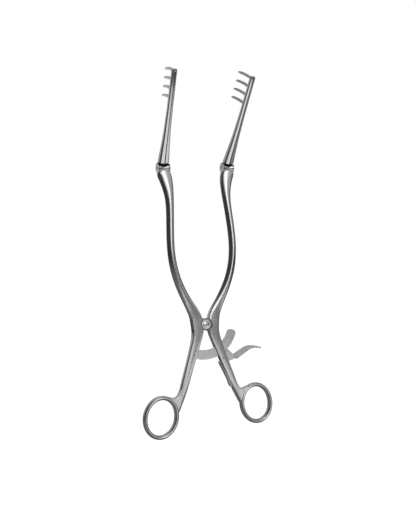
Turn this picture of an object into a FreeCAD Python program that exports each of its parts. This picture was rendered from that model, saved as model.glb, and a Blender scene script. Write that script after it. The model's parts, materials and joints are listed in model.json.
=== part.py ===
"""Hinged self retaining retractor with two rakes, millimetres.

The frame stands on the pivot: X runs across the instrument, Y from the front face to the back,
Z up the arms. The back face of the pivot lies in the plane Y = 0 and the pivot axis runs through
the origin, so the middle plane of the lap joint lies at Y = -half_lap.
"""
import FreeCAD, Part
import math
import os
import Sketcher

LEFT = -1
RIGHT = 1

# Every driving size, by name. Lengths in millimetres, angles in degrees.
SIZES = {
    # Lap joint at the pivot
    "lap_thickness": 6.7,
    "lap_gap": 0.05,
    "boss_radius": 5.6,
    "boss_proud": 0.06,
    "recess_clearance": 0.25,
    "bush_radius": 4.3,
    "bush_rim": 0.2,
    "head_radius": 2.7,
    "head_height": 1.3,
    "shoulder_radius": 2.2,
    "thread_radius": 1.7,
    "screw_slot_width": 0.8,
    "screw_slot_depth": 0.6,
    "screw_slot_turn": 40,
    "running_gap": 0.05,
    "press_gap": 0.01,
    # Pivot plate and shanks, down to the finger rings
    "shank_offset": 4.3,
    "shank_splay": 20,
    "shank_depth": 6.2,
    "shank_edge": 1.1,
    "plate_width": 11.0,
    "plate_reach": 7.7,
    "plate_edge": 0.8,
    "shoulder_drop": 10,
    "shoulder_width": 8.4,
    "shank_high_drop": 22,
    "shank_high_width": 7.8,
    "shank_middle_drop": 40,
    "shank_middle_width": 7.0,
    "shank_low_drop": 57,
    "shank_low_width": 6.6,
    "foot_width": 2.8,
    "foot_depth": 5.2,
    "foot_edge": 0.8,
    # Finger rings
    "ring_reach": 46.8,
    "ring_drop": 76.7,
    "ring_hole_width": 25.6,
    "ring_hole_height": 30.6,
    "ring_tilt": 12,
    "ring_wall": 3.8,
    "ring_depth": 6.4,
    "ring_edge": 1.2,
    "web_depth": 4.6,
    "web_notch_radius": 6,
    "web_notch_drop": 58,
    "web_crown_inset": 8.9,
    "web_crown_drop": 60.4,
    # Arms, up to the knuckles: rise, reach, bow towards the front, width and depth of each station
    "root_rise": 9.5,
    "root_reach": 9.1,
    "root_bow": 0.0,
    "root_width": 9.4,
    "root_edge": 1.0,
    "fork_rise": 19,
    "fork_reach": 14.9,
    "fork_bow": 0.8,
    "fork_width": 7.8,
    "fork_edge": 1.5,
    "spread_rise": 34,
    "spread_reach": 22.9,
    "spread_bow": 2.6,
    "spread_width": 7.4,
    "spread_edge": 1.9,
    "curve_rise": 50,
    "curve_reach": 28.3,
    "curve_bow": 3.7,
    "curve_width": 6.9,
    "belly_rise": 69,
    "belly_reach": 30.5,
    "belly_bow": 4.2,
    "belly_width": 6.7,
    "upper_rise": 90,
    "upper_reach": 29.2,
    "upper_bow": 3.8,
    "upper_width": 6.8,
    "waist_rise": 107,
    "waist_reach": 27.7,
    "waist_bow": 2.6,
    "waist_width": 6.9,
    "flare_rise": 119,
    "flare_reach": 27.7,
    "flare_bow": 1.2,
    "flare_width": 8.6,
    "cheek_rise": 129,
    "cheek_reach": 29.2,
    "cheek_bow": 0.2,
    "cheek_width": 10.4,
    "arm_depth": 6.6,
    "arm_edge": 1.95,
    "flare_depth": 7.2,
    "flare_edge": 1.9,
    "cheek_depth": 8.0,
    "cheek_edge": 1.6,
    # Blade hinges at the arm ends
    "pin_rise": 139.5,
    "pin_reach": 31.2,
    "blade_lean": 2.5,
    "knuckle_width": 10.8,
    "knuckle_end_radius": 4.5,
    "knuckle_middle_radius": 3.5,
    "neck_drop": 3.6,
    "blade_pin_radius": 1.1,
    "eye_radius": 2.2,
    "eye_clearance": 0.2,
    "tongue_width": 4.0,
    "tongue_side_gap": 0.2,
    "neck_thickness": 3.6,
    "blade_seat_gap": 0.3,
    "forward_fold_limit": 45,
    "left_fold": 32,
    "right_fold": 37,
    # Rake blades
    "blade_length": 87,
    "blade_base_width": 10.0,
    "blade_base_depth": 6.2,
    "blade_taper_rise": 16,
    "blade_taper_width": 7.9,
    "blade_taper_depth": 5.2,
    "blade_slim_rise": 32,
    "blade_slim_width": 5.8,
    "blade_slim_depth": 4.4,
    "blade_bar_rise": 54,
    "blade_bar_width": 4.7,
    "blade_bar_depth": 3.8,
    "blade_tip_width": 4.4,
    "blade_tip_depth": 3.6,
    "blade_ridge": 0.24,
    "blade_bevel": 0.6,
    "tip_round": 2.6,
    "prong_count": 4,
    "prong_pitch": 7.65,
    "prong_inset": 1.9,
    "prong_length": 18.5,
    "prong_droop": 4.7,
    "prong_root_radius": 1.7,
    "prong_middle_radius": 1.5,
    "prong_end_radius": 1.15,
    "prong_tip_radius": 0.5,
    "prong_sway": 1.4,
    "prong_bevel": 0.58,
    # Ratchet bar
    "bar_inner_radius": 23.0,
    "bar_width": 8.6,
    "bar_thickness": 2.0,
    "bar_end_angle": 75,
    "bar_root_angle": 31,
    "bar_end_round": 3.3,
    "bar_slot_gap": 0.15,
    "bar_pin_radius": 0.8,
    "bar_pin_angle": 27,
    "bar_pin_inset": 2.0,
    "tooth_pitch": 3,
    "tooth_count": 17,
    "tooth_depth": 0.55,
    "tooth_first_angle": 12,
    # Release lever, its slot and its pin, along the right shank
    "slot_start": 19.3,
    "slot_end": 39.6,
    "lever_pin_along": 33.6,
    "lever_pin_offset": 0.3,
    "lever_pin_radius": 1.1,
    "lever_eye_radius": 3.0,
    "pawl_angle": 40.5,
    "pawl_gap": 0.12,
    "lever_root_reach": 26.9,
    "lever_root_drop": 30.4,
    "lever_root_thickness": 3.4,
    "thumb_crest_reach": 37.5,
    "thumb_crest_drop": 25.3,
    "thumb_fall_reach": 49.5,
    "thumb_fall_drop": 24.3,
    "thumb_tip_reach": 54.6,
    "thumb_tip_drop": 26.3,
    "thumb_crest_radius": 17,
    "thumb_middle_thickness": 2.4,
    "thumb_tip_thickness": 0.9,
    "thumb_width": 7.4,
    "thumb_corner": 2.4,
    "tail_along": 37.2,
    "tail_offset": 3.1,
    # Leaf spring and its screw
    "leaf_thickness": 0.7,
    "leaf_width": 4.8,
    "leaf_foot_along": 61,
    "leaf_bend_along": 53,
    "leaf_top_along": 35.2,
    "leaf_top_lift": 2.2,
    "leaf_tail_gap": 0.75,
    "leaf_seat": 3.1,
    "leaf_seat_length": 13,
    "leaf_screw_inset": 3.5,
    "leaf_screw_head_radius": 1.6,
    "leaf_screw_head_height": 0.7,
    "leaf_screw_radius": 0.8,
    "leaf_screw_length": 3.6,
    "leaf_screw_slot_width": 0.45,
    "leaf_screw_slot_depth": 0.35,
}


class Size:
    """A size with two faces: its value, and the text that binds a property to the sheet."""

    def __init__(self, text, value):
        self.text = text
        self.value = float(value)

    def join(self, sign, other, value, flipped=False):
        """Return the size for two joined by an arithmetic sign."""
        left, right = (text_of(other), self.text) if flipped else (self.text, text_of(other))
        return Size(f"({left} {sign} {right})", value)

    def __add__(self, other):
        return self.join("+", other, self.value + value_of(other))

    def __radd__(self, other):
        return self.join("+", other, value_of(other) + self.value, True)

    def __sub__(self, other):
        return self.join("-", other, self.value - value_of(other))

    def __rsub__(self, other):
        return self.join("-", other, value_of(other) - self.value, True)

    def __mul__(self, other):
        return self.join("*", other, self.value * value_of(other))

    def __rmul__(self, other):
        return self.join("*", other, value_of(other) * self.value, True)

    def __truediv__(self, other):
        return self.join("/", other, self.value / value_of(other))

    def __neg__(self):
        return Size(f"(-1 * {self.text})", -self.value)


def value_of(item):
    """Return the number behind a size or a plain number."""
    return item.value if isinstance(item, Size) else float(item)


def text_of(item):
    """Return the binding text of a size or a plain number."""
    return item.text if isinstance(item, Size) else repr(float(item))


def size(name):
    """Return a driving size of the sheet."""
    return Size(f"Sizes.{name}", SIZES[name])


def sine(angle):
    return Size(f"sin({text_of(angle)})", math.sin(math.radians(value_of(angle))))


def cosine(angle):
    return Size(f"cos({text_of(angle)})", math.cos(math.radians(value_of(angle))))


def tangent(angle):
    return Size(f"tan({text_of(angle)})", math.tan(math.radians(value_of(angle))))


def root(item):
    return Size(f"sqrt({text_of(item)})", math.sqrt(value_of(item)))


def bearing(across, up):
    """Return the lean of a direction away from straight up, in degrees."""
    angle = math.degrees(math.atan2(value_of(across), value_of(up)))
    return Size(f"atan2({text_of(across)}; {text_of(up)})", angle)


def make_sheet(doc):
    """Write every driving size into a spreadsheet, one alias each."""
    sheet = doc.addObject("Spreadsheet::Sheet", "Sizes")
    for row, (name, number) in enumerate(SIZES.items(), start=1):
        sheet.set(f"A{row}", name)
        sheet.set(f"B{row}", str(number))
        sheet.setAlias(f"B{row}", name)
    doc.recompute()


def bind(thing, name, item):
    """Set a property to a size and bind it to the sheet."""
    if isinstance(item, Size):
        thing.setExpression(name, item.text)


def new_body(doc, name):
    body = doc.addObject("PartDesign::Body", name)
    body.Label = name
    return body


def origin_plane(body, role):
    """Return one of a body's own origin planes or axes."""
    return next(feature for feature in body.Origin.OriginFeatures if feature.Role == role)


def new_sketch(body, name, role, base, axis=(0, 0, 1), turn=0.0):
    """Attach a sketch to an origin plane.

    base is the sketch's origin in the plane's own axes, and the sketch is turned about axis.
    """
    sketch = body.newObject("Sketcher::SketchObject", name)
    sketch.AttachmentSupport = (origin_plane(body, role), [""])
    sketch.MapMode = "FlatFace"
    spot = FreeCAD.Vector(*[value_of(item) for item in base])
    rotation = FreeCAD.Rotation(FreeCAD.Vector(*axis), value_of(turn))
    sketch.AttachmentOffset = FreeCAD.Placement(spot, rotation)
    for letter, item in zip("xyz", base):
        bind(sketch, f"AttachmentOffset.Base.{letter}", item)
    if value_of(turn) != 0.0:
        bind(sketch, "AttachmentOffset.Rotation.Angle", turn)
    return sketch


def flat_sketch(body, name, front, reach=0.0, rise=0.0, turn=0.0):
    """Sketch parallel to the instrument's face, at depth front, turned as seen from the front."""
    return new_sketch(body, name, "XZ_Plane", (reach, rise, -1.0 * front), (0, 0, 1), turn)


def cross_sketch(body, name, reach, bow, rise, lean):
    """Sketch across the instrument, its normal leaning from straight up towards +X."""
    return new_sketch(body, name, "XY_Plane", (reach, bow, rise), (0, 1, 0), lean)


def side_sketch(body, name, reach=0.0, bow=0.0, rise=0.0, lean=0.0):
    """Sketch seen from the side, x to the back and y up, its plane leaning towards +X."""
    return new_sketch(body, name, "YZ_Plane", (bow, rise, reach), (1, 0, 0), lean)


def hold(sketch, geometry, point, spot, mark):
    """Fix one point of the sketch by its two coordinates."""
    for kind, letter, item in zip(("DistanceX", "DistanceY"), "xy", spot):
        constraint = Sketcher.Constraint(kind, -1, 1, geometry, point, value_of(item))
        index = sketch.addConstraint(constraint)
        sketch.renameConstraint(index, f"{mark}{letter}")
        bind(sketch, f"Constraints.{mark}{letter}", item)


def hold_radius(sketch, geometry, radius, mark):
    index = sketch.addConstraint(Sketcher.Constraint("Radius", geometry, abs(value_of(radius))))
    sketch.renameConstraint(index, mark)
    if isinstance(radius, Size):
        sign = 1.0 if radius.value > 0 else -1.0
        bind(sketch, f"Constraints.{mark}", sign * radius)


def draw_circle(sketch, radius, spot=(0.0, 0.0), mark="circle"):
    centre = FreeCAD.Vector(value_of(spot[0]), value_of(spot[1]), 0)
    geometry = sketch.addGeometry(Part.Circle(centre, FreeCAD.Vector(0, 0, 1), value_of(radius)))
    hold(sketch, geometry, 3, spot, mark)
    hold_radius(sketch, geometry, radius, f"{mark}_radius")


def arc_between(start, end, radius):
    """Return the short arc from start to end, anticlockwise for a positive radius."""
    first, last = (start, end) if radius > 0 else (end, start)
    chord = last - first
    height = math.sqrt(radius * radius - chord.Length ** 2 / 4)
    inward = FreeCAD.Vector(-chord.y, chord.x, 0).normalize()
    centre = first + chord * 0.5 + inward * height
    circle = Part.Circle(centre, FreeCAD.Vector(0, 0, 1), abs(radius))
    angles = [math.atan2(p.y - centre.y, p.x - centre.x) for p in (first, last)]
    return Part.ArcOfCircle(circle, *angles)


def draw_outline(sketch, corners):
    """Draw a closed outline through corners, each (x, y) or (x, y, radius of the arc that follows)."""
    spots = [FreeCAD.Vector(value_of(c[0]), value_of(c[1]), 0) for c in corners]
    ends = []
    for number, corner in enumerate(corners):
        start = spots[number]
        end = spots[(number + 1) % len(spots)]
        if len(corner) == 3:
            radius = value_of(corner[2])
            geometry = sketch.addGeometry(arc_between(start, end, radius))
            ends.append((geometry, 1, 2) if radius > 0 else (geometry, 2, 1))
        else:
            geometry = sketch.addGeometry(Part.LineSegment(start, end))
            ends.append((geometry, 1, 2))
    for number, corner in enumerate(corners):
        geometry, first, _ = ends[number]
        before, _, last = ends[number - 1]
        sketch.addConstraint(Sketcher.Constraint("Coincident", before, last, geometry, first))
        hold(sketch, geometry, first, corner[:2], f"corner{number}")
        if len(corner) == 3:
            hold_radius(sketch, geometry, corner[2], f"arc{number}")


def draw_section(sketch, width, depth, edge):
    """Draw a rectangle with bevelled edges, centred on the sketch."""
    side, face = width / 2, depth / 2
    draw_outline(sketch, [
        (edge - side, -face), (side - edge, -face), (side, edge - face), (side, face - edge),
        (side - edge, face), (edge - side, face), (-side, face - edge), (-side, edge - face),
    ])


def finish_feature(body, feature, grows):
    """Recompute a feature and check that it changed the body's volume the right way."""
    if "FuzzyTolerance" in feature.PropertiesList:
        feature.FuzzyTolerance = 0.0
    patterned = "Originals" in feature.PropertiesList
    base = feature.Originals[-1] if patterned else feature.BaseFeature
    before = base.Shape.Volume if base else 0.0
    body.Document.recompute()
    after = feature.Shape.Volume
    if (after > before) != grows or abs(after - before) < 1e-4:
        raise RuntimeError(f"{feature.Name} left the volume at {after:.3f} from {before:.3f}")
    return feature


def add_pad(body, name, sketch, length, reverse=False, both_ways=False):
    pad = body.newObject("PartDesign::Pad", name)
    pad.Profile = sketch
    pad.SideType = "Symmetric" if both_ways else "One side"
    pad.Reversed = reverse
    pad.Length = value_of(length)
    bind(pad, "Length", length)
    return finish_feature(body, pad, True)


def cut_pocket(body, name, sketch, length, reverse=False, both_ways=False):
    pocket = body.newObject("PartDesign::Pocket", name)
    pocket.Profile = sketch
    pocket.SideType = "Symmetric" if both_ways else "One side"
    pocket.Reversed = reverse
    pocket.Length = value_of(length)
    bind(pocket, "Length", length)
    return finish_feature(body, pocket, False)


def add_loft(body, name, sketches):
    loft = body.newObject("PartDesign::AdditiveLoft", name)
    loft.Profile = sketches[0]
    loft.Sections = sketches[1:]
    return finish_feature(body, loft, True)


def turn_profile(body, name, kind, sketch, axis="V_Axis"):
    """Revolve a sketch about one of its own axes, adding or cutting."""
    feature = body.newObject(f"PartDesign::{kind}", name)
    feature.Profile = sketch
    feature.ReferenceAxis = (sketch, [axis])
    feature.Angle = 360
    return finish_feature(body, feature, kind == "Revolution")


def middle_depth():
    """Return the depth of the lap joint's middle plane, behind which the right half's boss lies."""
    return -1.0 * (size("lap_thickness") / 2 + size("boss_proud"))


def half_lap():
    return size("lap_thickness") / 2


def along_shank(side, along, offset=0.0):
    """Return reach and rise of a point along a shank, offset towards the inside of the instrument."""
    splay = size("shank_splay")
    reach = size("shank_offset") + along * sine(splay) - offset * cosine(splay)
    rise = -1.0 * (along * cosine(splay)) - offset * sine(splay)
    return side * reach, rise


def below_pivot(side, radius, angle):
    """Return reach and rise at a radius, at an angle from straight down towards the given side."""
    return side * (radius * sine(angle)), -1.0 * (radius * cosine(angle))


def half_stations():
    """List the sections of one half from its finger ring up to its knuckle.

    Each is (name, reach, rise, bow, width, depth, edge).
    """
    splay = size("shank_splay")
    stations = []
    for name in ("shank_low", "shank_middle", "shank_high"):
        drop = size(f"{name}_drop")
        reach = size("shank_offset") + drop * tangent(splay)
        depth, edge = size("shank_depth"), size("shank_edge")
        stations.append((name, reach, -drop, 0.0, size(f"{name}_width"), depth, edge))
    drop, depth, edge = size("shoulder_drop"), size("lap_thickness"), size("plate_edge")
    reach = size("shank_offset") + drop * tangent(splay)
    stations.append(("shoulder", reach, -drop, 0.0, size("shoulder_width"), depth, edge))
    stations.append(("plate", size("plate_reach"), size("lap_gap"), 0.0, size("plate_width"), depth, edge))
    stations.append(station("root", depth, size("root_edge")))
    stations.append(station("fork", size("arm_depth"), size("fork_edge")))
    stations.append(station("spread", size("arm_depth"), size("spread_edge")))
    for name in ("curve", "belly", "upper", "waist"):
        stations.append(station(name, size("arm_depth"), size("arm_edge")))
    stations.append(station("flare", size("flare_depth"), size("flare_edge")))
    stations.append(station("cheek", size("cheek_depth"), size("cheek_edge")))
    lean, drop = size("blade_lean"), size("neck_drop")
    reach = size("pin_reach") - drop * sine(lean)
    rise = size("pin_rise") - drop * cosine(lean)
    width = size("knuckle_width") - size("press_gap")
    stations.append(("neck", reach, rise, 0.0, width, size("cheek_depth"), size("cheek_edge")))
    return stations


def station(name, depth, edge):
    """Return an arm section from its sizes in the sheet."""
    reach, rise, bow = size(f"{name}_reach"), size(f"{name}_rise"), size(f"{name}_bow")
    return name, reach, rise, -bow, size(f"{name}_width"), depth, edge


def add_limb(body, side):
    """Loft one half from its finger ring up to the pivot plate, and on to its knuckle."""
    stations = half_stations()
    ring_end = (size("ring_reach") - size("ring_hole_width") / 2 - size("ring_wall") / 2,
                -size("ring_drop"))
    sketches = []
    foot = cross_sketch(body, "foot_section", side * ring_end[0], middle_depth(), ring_end[1],
                        -1.0 * (side * size("ring_tilt")))
    draw_section(foot, size("foot_width"), size("foot_depth"), size("foot_edge"))
    sketches.append(foot)
    places = [ring_end] + [entry[1:3] for entry in stations]
    for number, (name, reach, rise, bow, width, depth, edge) in enumerate(stations, start=1):
        below = places[number - 1]
        above = places[min(number + 1, len(places) - 1)]
        lean = bearing(above[0] - below[0], above[1] - below[1])
        if name == "neck":
            lean = size("blade_lean")
        sketch = cross_sketch(body, f"{name}_section", side * reach, middle_depth() + bow, rise, side * lean)
        draw_section(sketch, width, depth, edge)
        sketches.append(sketch)
    plate = 5
    add_loft(body, "shank", sketches[:plate + 1])
    add_loft(body, "arm", sketches[plate:])


def add_ring(body, side):
    """Web the shank to its oval finger ring and sweep the ring's rounded wall."""
    wall, tilt = size("ring_wall"), side * size("ring_tilt")
    half_height = size("ring_hole_height") / 2 + wall / 2
    half_width = size("ring_hole_width") / 2 + wall / 2

    web = flat_sketch(body, "web_outline", middle_depth())
    low_drop, splay = size("shank_low_drop"), size("shank_splay")
    shank_middle = size("shank_offset") + low_drop * tangent(splay)
    notch_drop = size("web_notch_drop")
    shank_edge = size("shank_offset") + notch_drop * tangent(splay) + size("shank_low_width") * 0.45
    notch = size("web_notch_radius")
    corners = [
        (shank_middle, -low_drop),
        (shank_edge, -notch_drop, notch),
        (size("ring_reach") - size("web_crown_inset"), -size("web_crown_drop")),
        (size("ring_reach") - half_width, -size("ring_drop")),
    ]
    if side == LEFT:
        corners = [(-1.0 * c[0], c[1]) for c in corners]
        corners[1] = (*corners[1], -notch)
    draw_outline(web, corners)
    add_pad(body, "web", web, size("web_depth"), both_ways=True)

    path = flat_sketch(body, "ring_path", middle_depth(), side * size("ring_reach"), -size("ring_drop"), tilt)
    ellipse = Part.Ellipse(FreeCAD.Vector(0, half_height.value, 0), FreeCAD.Vector(-half_width.value, 0, 0),
                           FreeCAD.Vector(0, 0, 0))
    path.addGeometry(ellipse)
    path.exposeInternalGeometry(0)
    path.addConstraint(Sketcher.Constraint("Coincident", 0, 3, -1, 1))
    path.addConstraint(Sketcher.Constraint("Vertical", 1))
    for geometry, name, item in ((1, "long_axis", 2 * half_height), (2, "short_axis", 2 * half_width)):
        index = path.addConstraint(Sketcher.Constraint("Distance", geometry, value_of(item)))
        path.renameConstraint(index, name)
        bind(path, f"Constraints.{name}", item)
    top_reach = side * size("ring_reach") - half_height * sine(tilt)
    top_rise = half_height * cosine(tilt) - size("ring_drop")
    section = cross_sketch(body, "ring_section", top_reach, middle_depth(), top_rise, -1.0 * (90 + tilt))
    draw_section(section, wall, size("ring_depth"), size("ring_edge"))
    ring = body.newObject("PartDesign::AdditivePipe", "ring")
    ring.Profile = section
    ring.Spine = (path, ["Edge1"])
    finish_feature(body, ring, True)


def add_knuckle(body, side):
    """Turn the waisted knuckle that the blade folds about, then cut its slot and pin bore."""
    lean = size("blade_lean")
    reach, rise = side * size("pin_reach"), size("pin_rise")
    half = size("knuckle_width") / 2
    end_radius, middle_radius = size("knuckle_end_radius"), size("knuckle_middle_radius")
    waist = end_radius - middle_radius
    sag_radius = half * half / (2 * waist) + waist / 2
    profile = flat_sketch(body, "knuckle_profile", middle_depth(), reach, rise, -1.0 * (side * lean))
    draw_outline(profile, [(-half, 0.0), (half, 0.0), (half, end_radius, -sag_radius), (-half, end_radius)])
    turn_profile(body, "knuckle", "Revolution", profile, "H_Axis")

    clear = size("eye_radius") + size("eye_clearance")
    back = size("neck_thickness") / 2 + size("eye_clearance")
    limit = size("forward_fold_limit")
    top = 2 * end_radius
    slot = side_sketch(body, "knuckle_slot", reach, middle_depth(), rise, side * lean)
    front_foot = (-1.0 * (clear * cosine(limit)), -1.0 * (clear * sine(limit)))
    front_top = (front_foot[0] - top * sine(limit), front_foot[1] + top * cosine(limit))
    draw_outline(slot, [
        (clear * cosine(limit), -1.0 * (clear * sine(limit))),
        (back, 0.0),
        (back, top),
        front_top,
        front_foot,
    ])
    width = size("tongue_width") + 2 * size("tongue_side_gap")
    cut_pocket(body, "tongue_slot", slot, width, both_ways=True)
    barrel = side_sketch(body, "eye_room", reach, middle_depth(), rise, side * lean)
    draw_circle(barrel, clear)
    cut_pocket(body, "eye_slot", barrel, width, both_ways=True)
    bore = side_sketch(body, "pin_bore", reach, middle_depth(), rise, side * lean)
    draw_circle(bore, size("blade_pin_radius") + size("press_gap"))
    cut_pocket(body, "pin_hole", bore, 2 * size("knuckle_width"), both_ways=True)


def lap_half(body, side):
    """Add the half's round boss and sink the recess that takes the other half's boss."""
    thickness = half_lap() + size("boss_proud") - size("lap_gap") / 2
    gap = size("lap_gap") / 2
    in_front = side == LEFT
    seat = middle_depth() - gap if in_front else middle_depth() + gap
    boss = flat_sketch(body, "boss_outline", seat, turn=90)
    draw_circle(boss, size("boss_radius"))
    add_pad(body, "boss", boss, thickness, reverse=not in_front)
    recess = flat_sketch(body, "recess_outline", seat, turn=90)
    draw_circle(recess, size("boss_radius") + size("recess_clearance"))
    cut_pocket(body, "recess", recess, size("lap_thickness"), reverse=not in_front)


def make_half(doc, name, side):
    """Start a half: limb, finger ring, knuckle and lap joint, common to both hands."""
    body = new_body(doc, name)
    add_limb(body, side)
    lap_half(body, side)
    add_ring(body, side)
    add_knuckle(body, side)
    return body


def make_left_half(doc):
    """Make the half that carries the ratchet bar and the pivot bush."""
    body = make_half(doc, "left_half", LEFT)
    seat = flat_sketch(body, "bush_seat", middle_depth())
    draw_circle(seat, size("bush_radius") + size("press_gap"))
    cut_pocket(body, "bush_hole", seat, 2 * size("lap_thickness"), both_ways=True)

    slot = flat_sketch(body, "bar_slot", middle_depth())
    gap = size("press_gap")
    inner, outer = size("bar_inner_radius") - gap, size("bar_inner_radius") + size("bar_width") + gap
    deep, open_end = size("bar_root_angle") + 0.2, size("shank_splay") - 6
    draw_outline(slot, [
        (*below_pivot(LEFT, inner, deep), inner),
        below_pivot(LEFT, inner, open_end),
        (*below_pivot(LEFT, outer, open_end), -outer),
        below_pivot(LEFT, outer, deep),
    ])
    cut_pocket(body, "bar_pocket", slot, size("bar_thickness") + 2 * gap, both_ways=True)
    for mark, radius in bar_pin_radii():
        bore = flat_sketch(body, f"{mark}_bore", middle_depth())
        spot = below_pivot(LEFT, radius, size("bar_pin_angle"))
        draw_circle(bore, size("bar_pin_radius") + gap, spot)
        cut_pocket(body, f"{mark}_hole", bore, 2 * size("lap_thickness"), both_ways=True)
    return body


def make_right_half(doc):
    """Make the half that the bar slides through, with the lever's slot and the spring's screw hole."""
    body = make_half(doc, "right_half", RIGHT)
    bore = flat_sketch(body, "screw_bore", middle_depth())
    draw_circle(bore, size("thread_radius") + size("press_gap"))
    cut_pocket(body, "screw_hole", bore, 2 * size("lap_thickness"), both_ways=True)

    slot = flat_sketch(body, "ratchet_slot", middle_depth())
    start, end, reach = size("slot_start"), size("slot_end"), size("shoulder_width")
    draw_outline(slot, [
        along_shank(RIGHT, start, reach), along_shank(RIGHT, end, reach),
        along_shank(RIGHT, end, -reach), along_shank(RIGHT, start, -reach),
    ])
    width = size("bar_thickness") + 2 * size("bar_slot_gap")
    cut_pocket(body, "ratchet_opening", slot, width, both_ways=True)

    pin = flat_sketch(body, "lever_pin_bore", middle_depth())
    draw_circle(pin, size("lever_pin_radius") + size("press_gap"), lever_pin_spot())
    cut_pocket(body, "lever_pin_hole", pin, 2 * size("lap_thickness"), both_ways=True)

    seat, lift = size("leaf_seat"), size("shoulder_width")
    end = size("leaf_foot_along") + 0.4
    flat = flat_sketch(body, "spring_flat_outline", middle_depth())
    draw_outline(flat, [
        along_shank(RIGHT, end - size("leaf_seat_length"), seat),
        along_shank(RIGHT, end, seat),
        along_shank(RIGHT, end, lift),
        along_shank(RIGHT, end - size("leaf_seat_length"), lift),
    ])
    cut_pocket(body, "spring_flat", flat, 2 * size("lap_thickness"), both_ways=True)
    reach, rise = along_shank(RIGHT, leaf_screw_along(), lift)
    tap = cross_sketch(body, "spring_screw_bore", reach, middle_depth(), rise, inward_lean())
    draw_circle(tap, size("leaf_screw_radius") + size("press_gap"))
    cut_pocket(body, "spring_screw_hole", tap, lift - seat + size("leaf_screw_length"))
    return body


def bar_pin_radii():
    """Return the two rivets that hold the bar, by name, with their distance from the pivot."""
    inner, inset = size("bar_inner_radius"), size("bar_pin_inset")
    return (("upper_bar_pin", inner + inset), ("lower_bar_pin", inner + size("bar_width") - inset))


def lever_pin_spot():
    return along_shank(RIGHT, size("lever_pin_along"), size("lever_pin_offset"))


def inward_lean():
    """Return the lean of a sketch whose normal points from the right shank to the inside."""
    return -1.0 * (90 + size("shank_splay"))


def leaf_screw_along():
    return size("leaf_foot_along") - size("leaf_screw_inset")


def add_blade_bar(body):
    """Loft the blade's ridged bar from its wide base to its tip and round the tip over."""
    stations = (
        ("base", size("neck_thickness") / 4, size("blade_base_width"), size("blade_base_depth")),
        ("taper", size("blade_taper_rise"), size("blade_taper_width"), size("blade_taper_depth")),
        ("slim", size("blade_slim_rise"), size("blade_slim_width"), size("blade_slim_depth")),
        ("bar", size("blade_bar_rise"), size("blade_bar_width"), size("blade_bar_depth")),
        ("tip", size("blade_length"), size("blade_tip_width"), size("blade_tip_depth")),
    )
    bevel = size("blade_bevel")
    sketches = []
    for name, rise, width, depth in stations:
        side, face = width / 2, depth / 2
        sketch = cross_sketch(body, f"{name}_section", 0.0, 0.0, rise, 0.0)
        shoulder = depth * size("blade_ridge") - face
        draw_outline(sketch, [
            (0.0, -face), (side, shoulder), (side, face - bevel), (side - bevel, face),
            (bevel - side, face), (-side, face - bevel), (-side, shoulder),
        ])
        sketches.append(sketch)
    add_loft(body, "bar", sketches)
    face, length, bend = size("blade_tip_depth") / 2, size("blade_length"), size("tip_round")
    corner = side_sketch(body, "tip_corner")
    draw_outline(corner, [
        (-face - 0.5, length - bend), (-face, length - bend, -bend),
        (bend - face, length), (bend - face, length + 0.5), (-face - 0.5, length + 0.5),
    ])
    cut_pocket(body, "tip_bend", corner, 2 * size("blade_base_width"), both_ways=True)


def add_prongs(body, side):
    """Loft one drooping prong at the tip and repeat it down the bar."""
    start = size("blade_length") - size("prong_inset")
    length, droop, sway = size("prong_length"), size("prong_droop"), -side * size("prong_sway")
    stations = (
        ("root", 0.0, size("prong_root_radius")),
        ("middle", 0.45, size("prong_middle_radius")),
        ("end", 0.9, size("prong_end_radius")),
        ("tip", 1.0, size("prong_tip_radius")),
    )
    back = size("blade_tip_depth") / 2
    sketches = []
    for name, share, radius in stations:
        spot = (share * sway, start - share * share * droop, -share * (length + back))
        sketch = new_sketch(body, f"prong_{name}", "XZ_Plane", spot)
        draw_section(sketch, 2 * radius, 2 * radius, size("prong_bevel") * radius)
        sketches.append(sketch)
    prong = add_loft(body, "prong", sketches)
    rake = body.newObject("PartDesign::LinearPattern", "rake")
    rake.Originals = [prong]
    rake.Direction = (origin_plane(body, "Z_Axis"), [""])
    rake.Reversed = True
    rake.Length = value_of((size("prong_count") - 1) * size("prong_pitch"))
    bind(rake, "Length", (size("prong_count") - 1) * size("prong_pitch"))
    rake.Occurrences = int(SIZES["prong_count"])
    bind(rake, "Occurrences", size("prong_count"))
    body.Tip = rake
    finish_feature(body, rake, True)


def add_tongue(body):
    """Hollow the blade's base over the knuckle and add the tongue and eye that the pin holds."""
    half = size("knuckle_width") / 2
    gap = size("blade_seat_gap")
    end_radius, middle_radius = size("knuckle_end_radius") + gap, size("knuckle_middle_radius") + gap
    waist = end_radius - middle_radius
    sag_radius = half * half / (2 * waist) + waist / 2
    hollow = flat_sketch(body, "seat_profile", 0.0)
    draw_outline(hollow, [(-half, 0.0), (half, 0.0), (half, end_radius, -sag_radius), (-half, end_radius)])
    turn_profile(body, "seat", "Groove", hollow, "H_Axis")
    neck = side_sketch(body, "neck_outline")
    side = size("neck_thickness") / 2
    draw_outline(neck, [(-side, 0.0), (side, 0.0), (side, 2 * end_radius), (-side, 2 * end_radius)])
    add_pad(body, "neck", neck, size("tongue_width"), both_ways=True)
    eye = side_sketch(body, "eye_outline")
    draw_circle(eye, size("eye_radius"))
    add_pad(body, "eye", eye, size("tongue_width"), both_ways=True)
    bore = side_sketch(body, "eye_bore")
    draw_circle(bore, size("blade_pin_radius") + size("running_gap"))
    cut_pocket(body, "eye_hole", bore, 2 * size("tongue_width"), both_ways=True)


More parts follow.
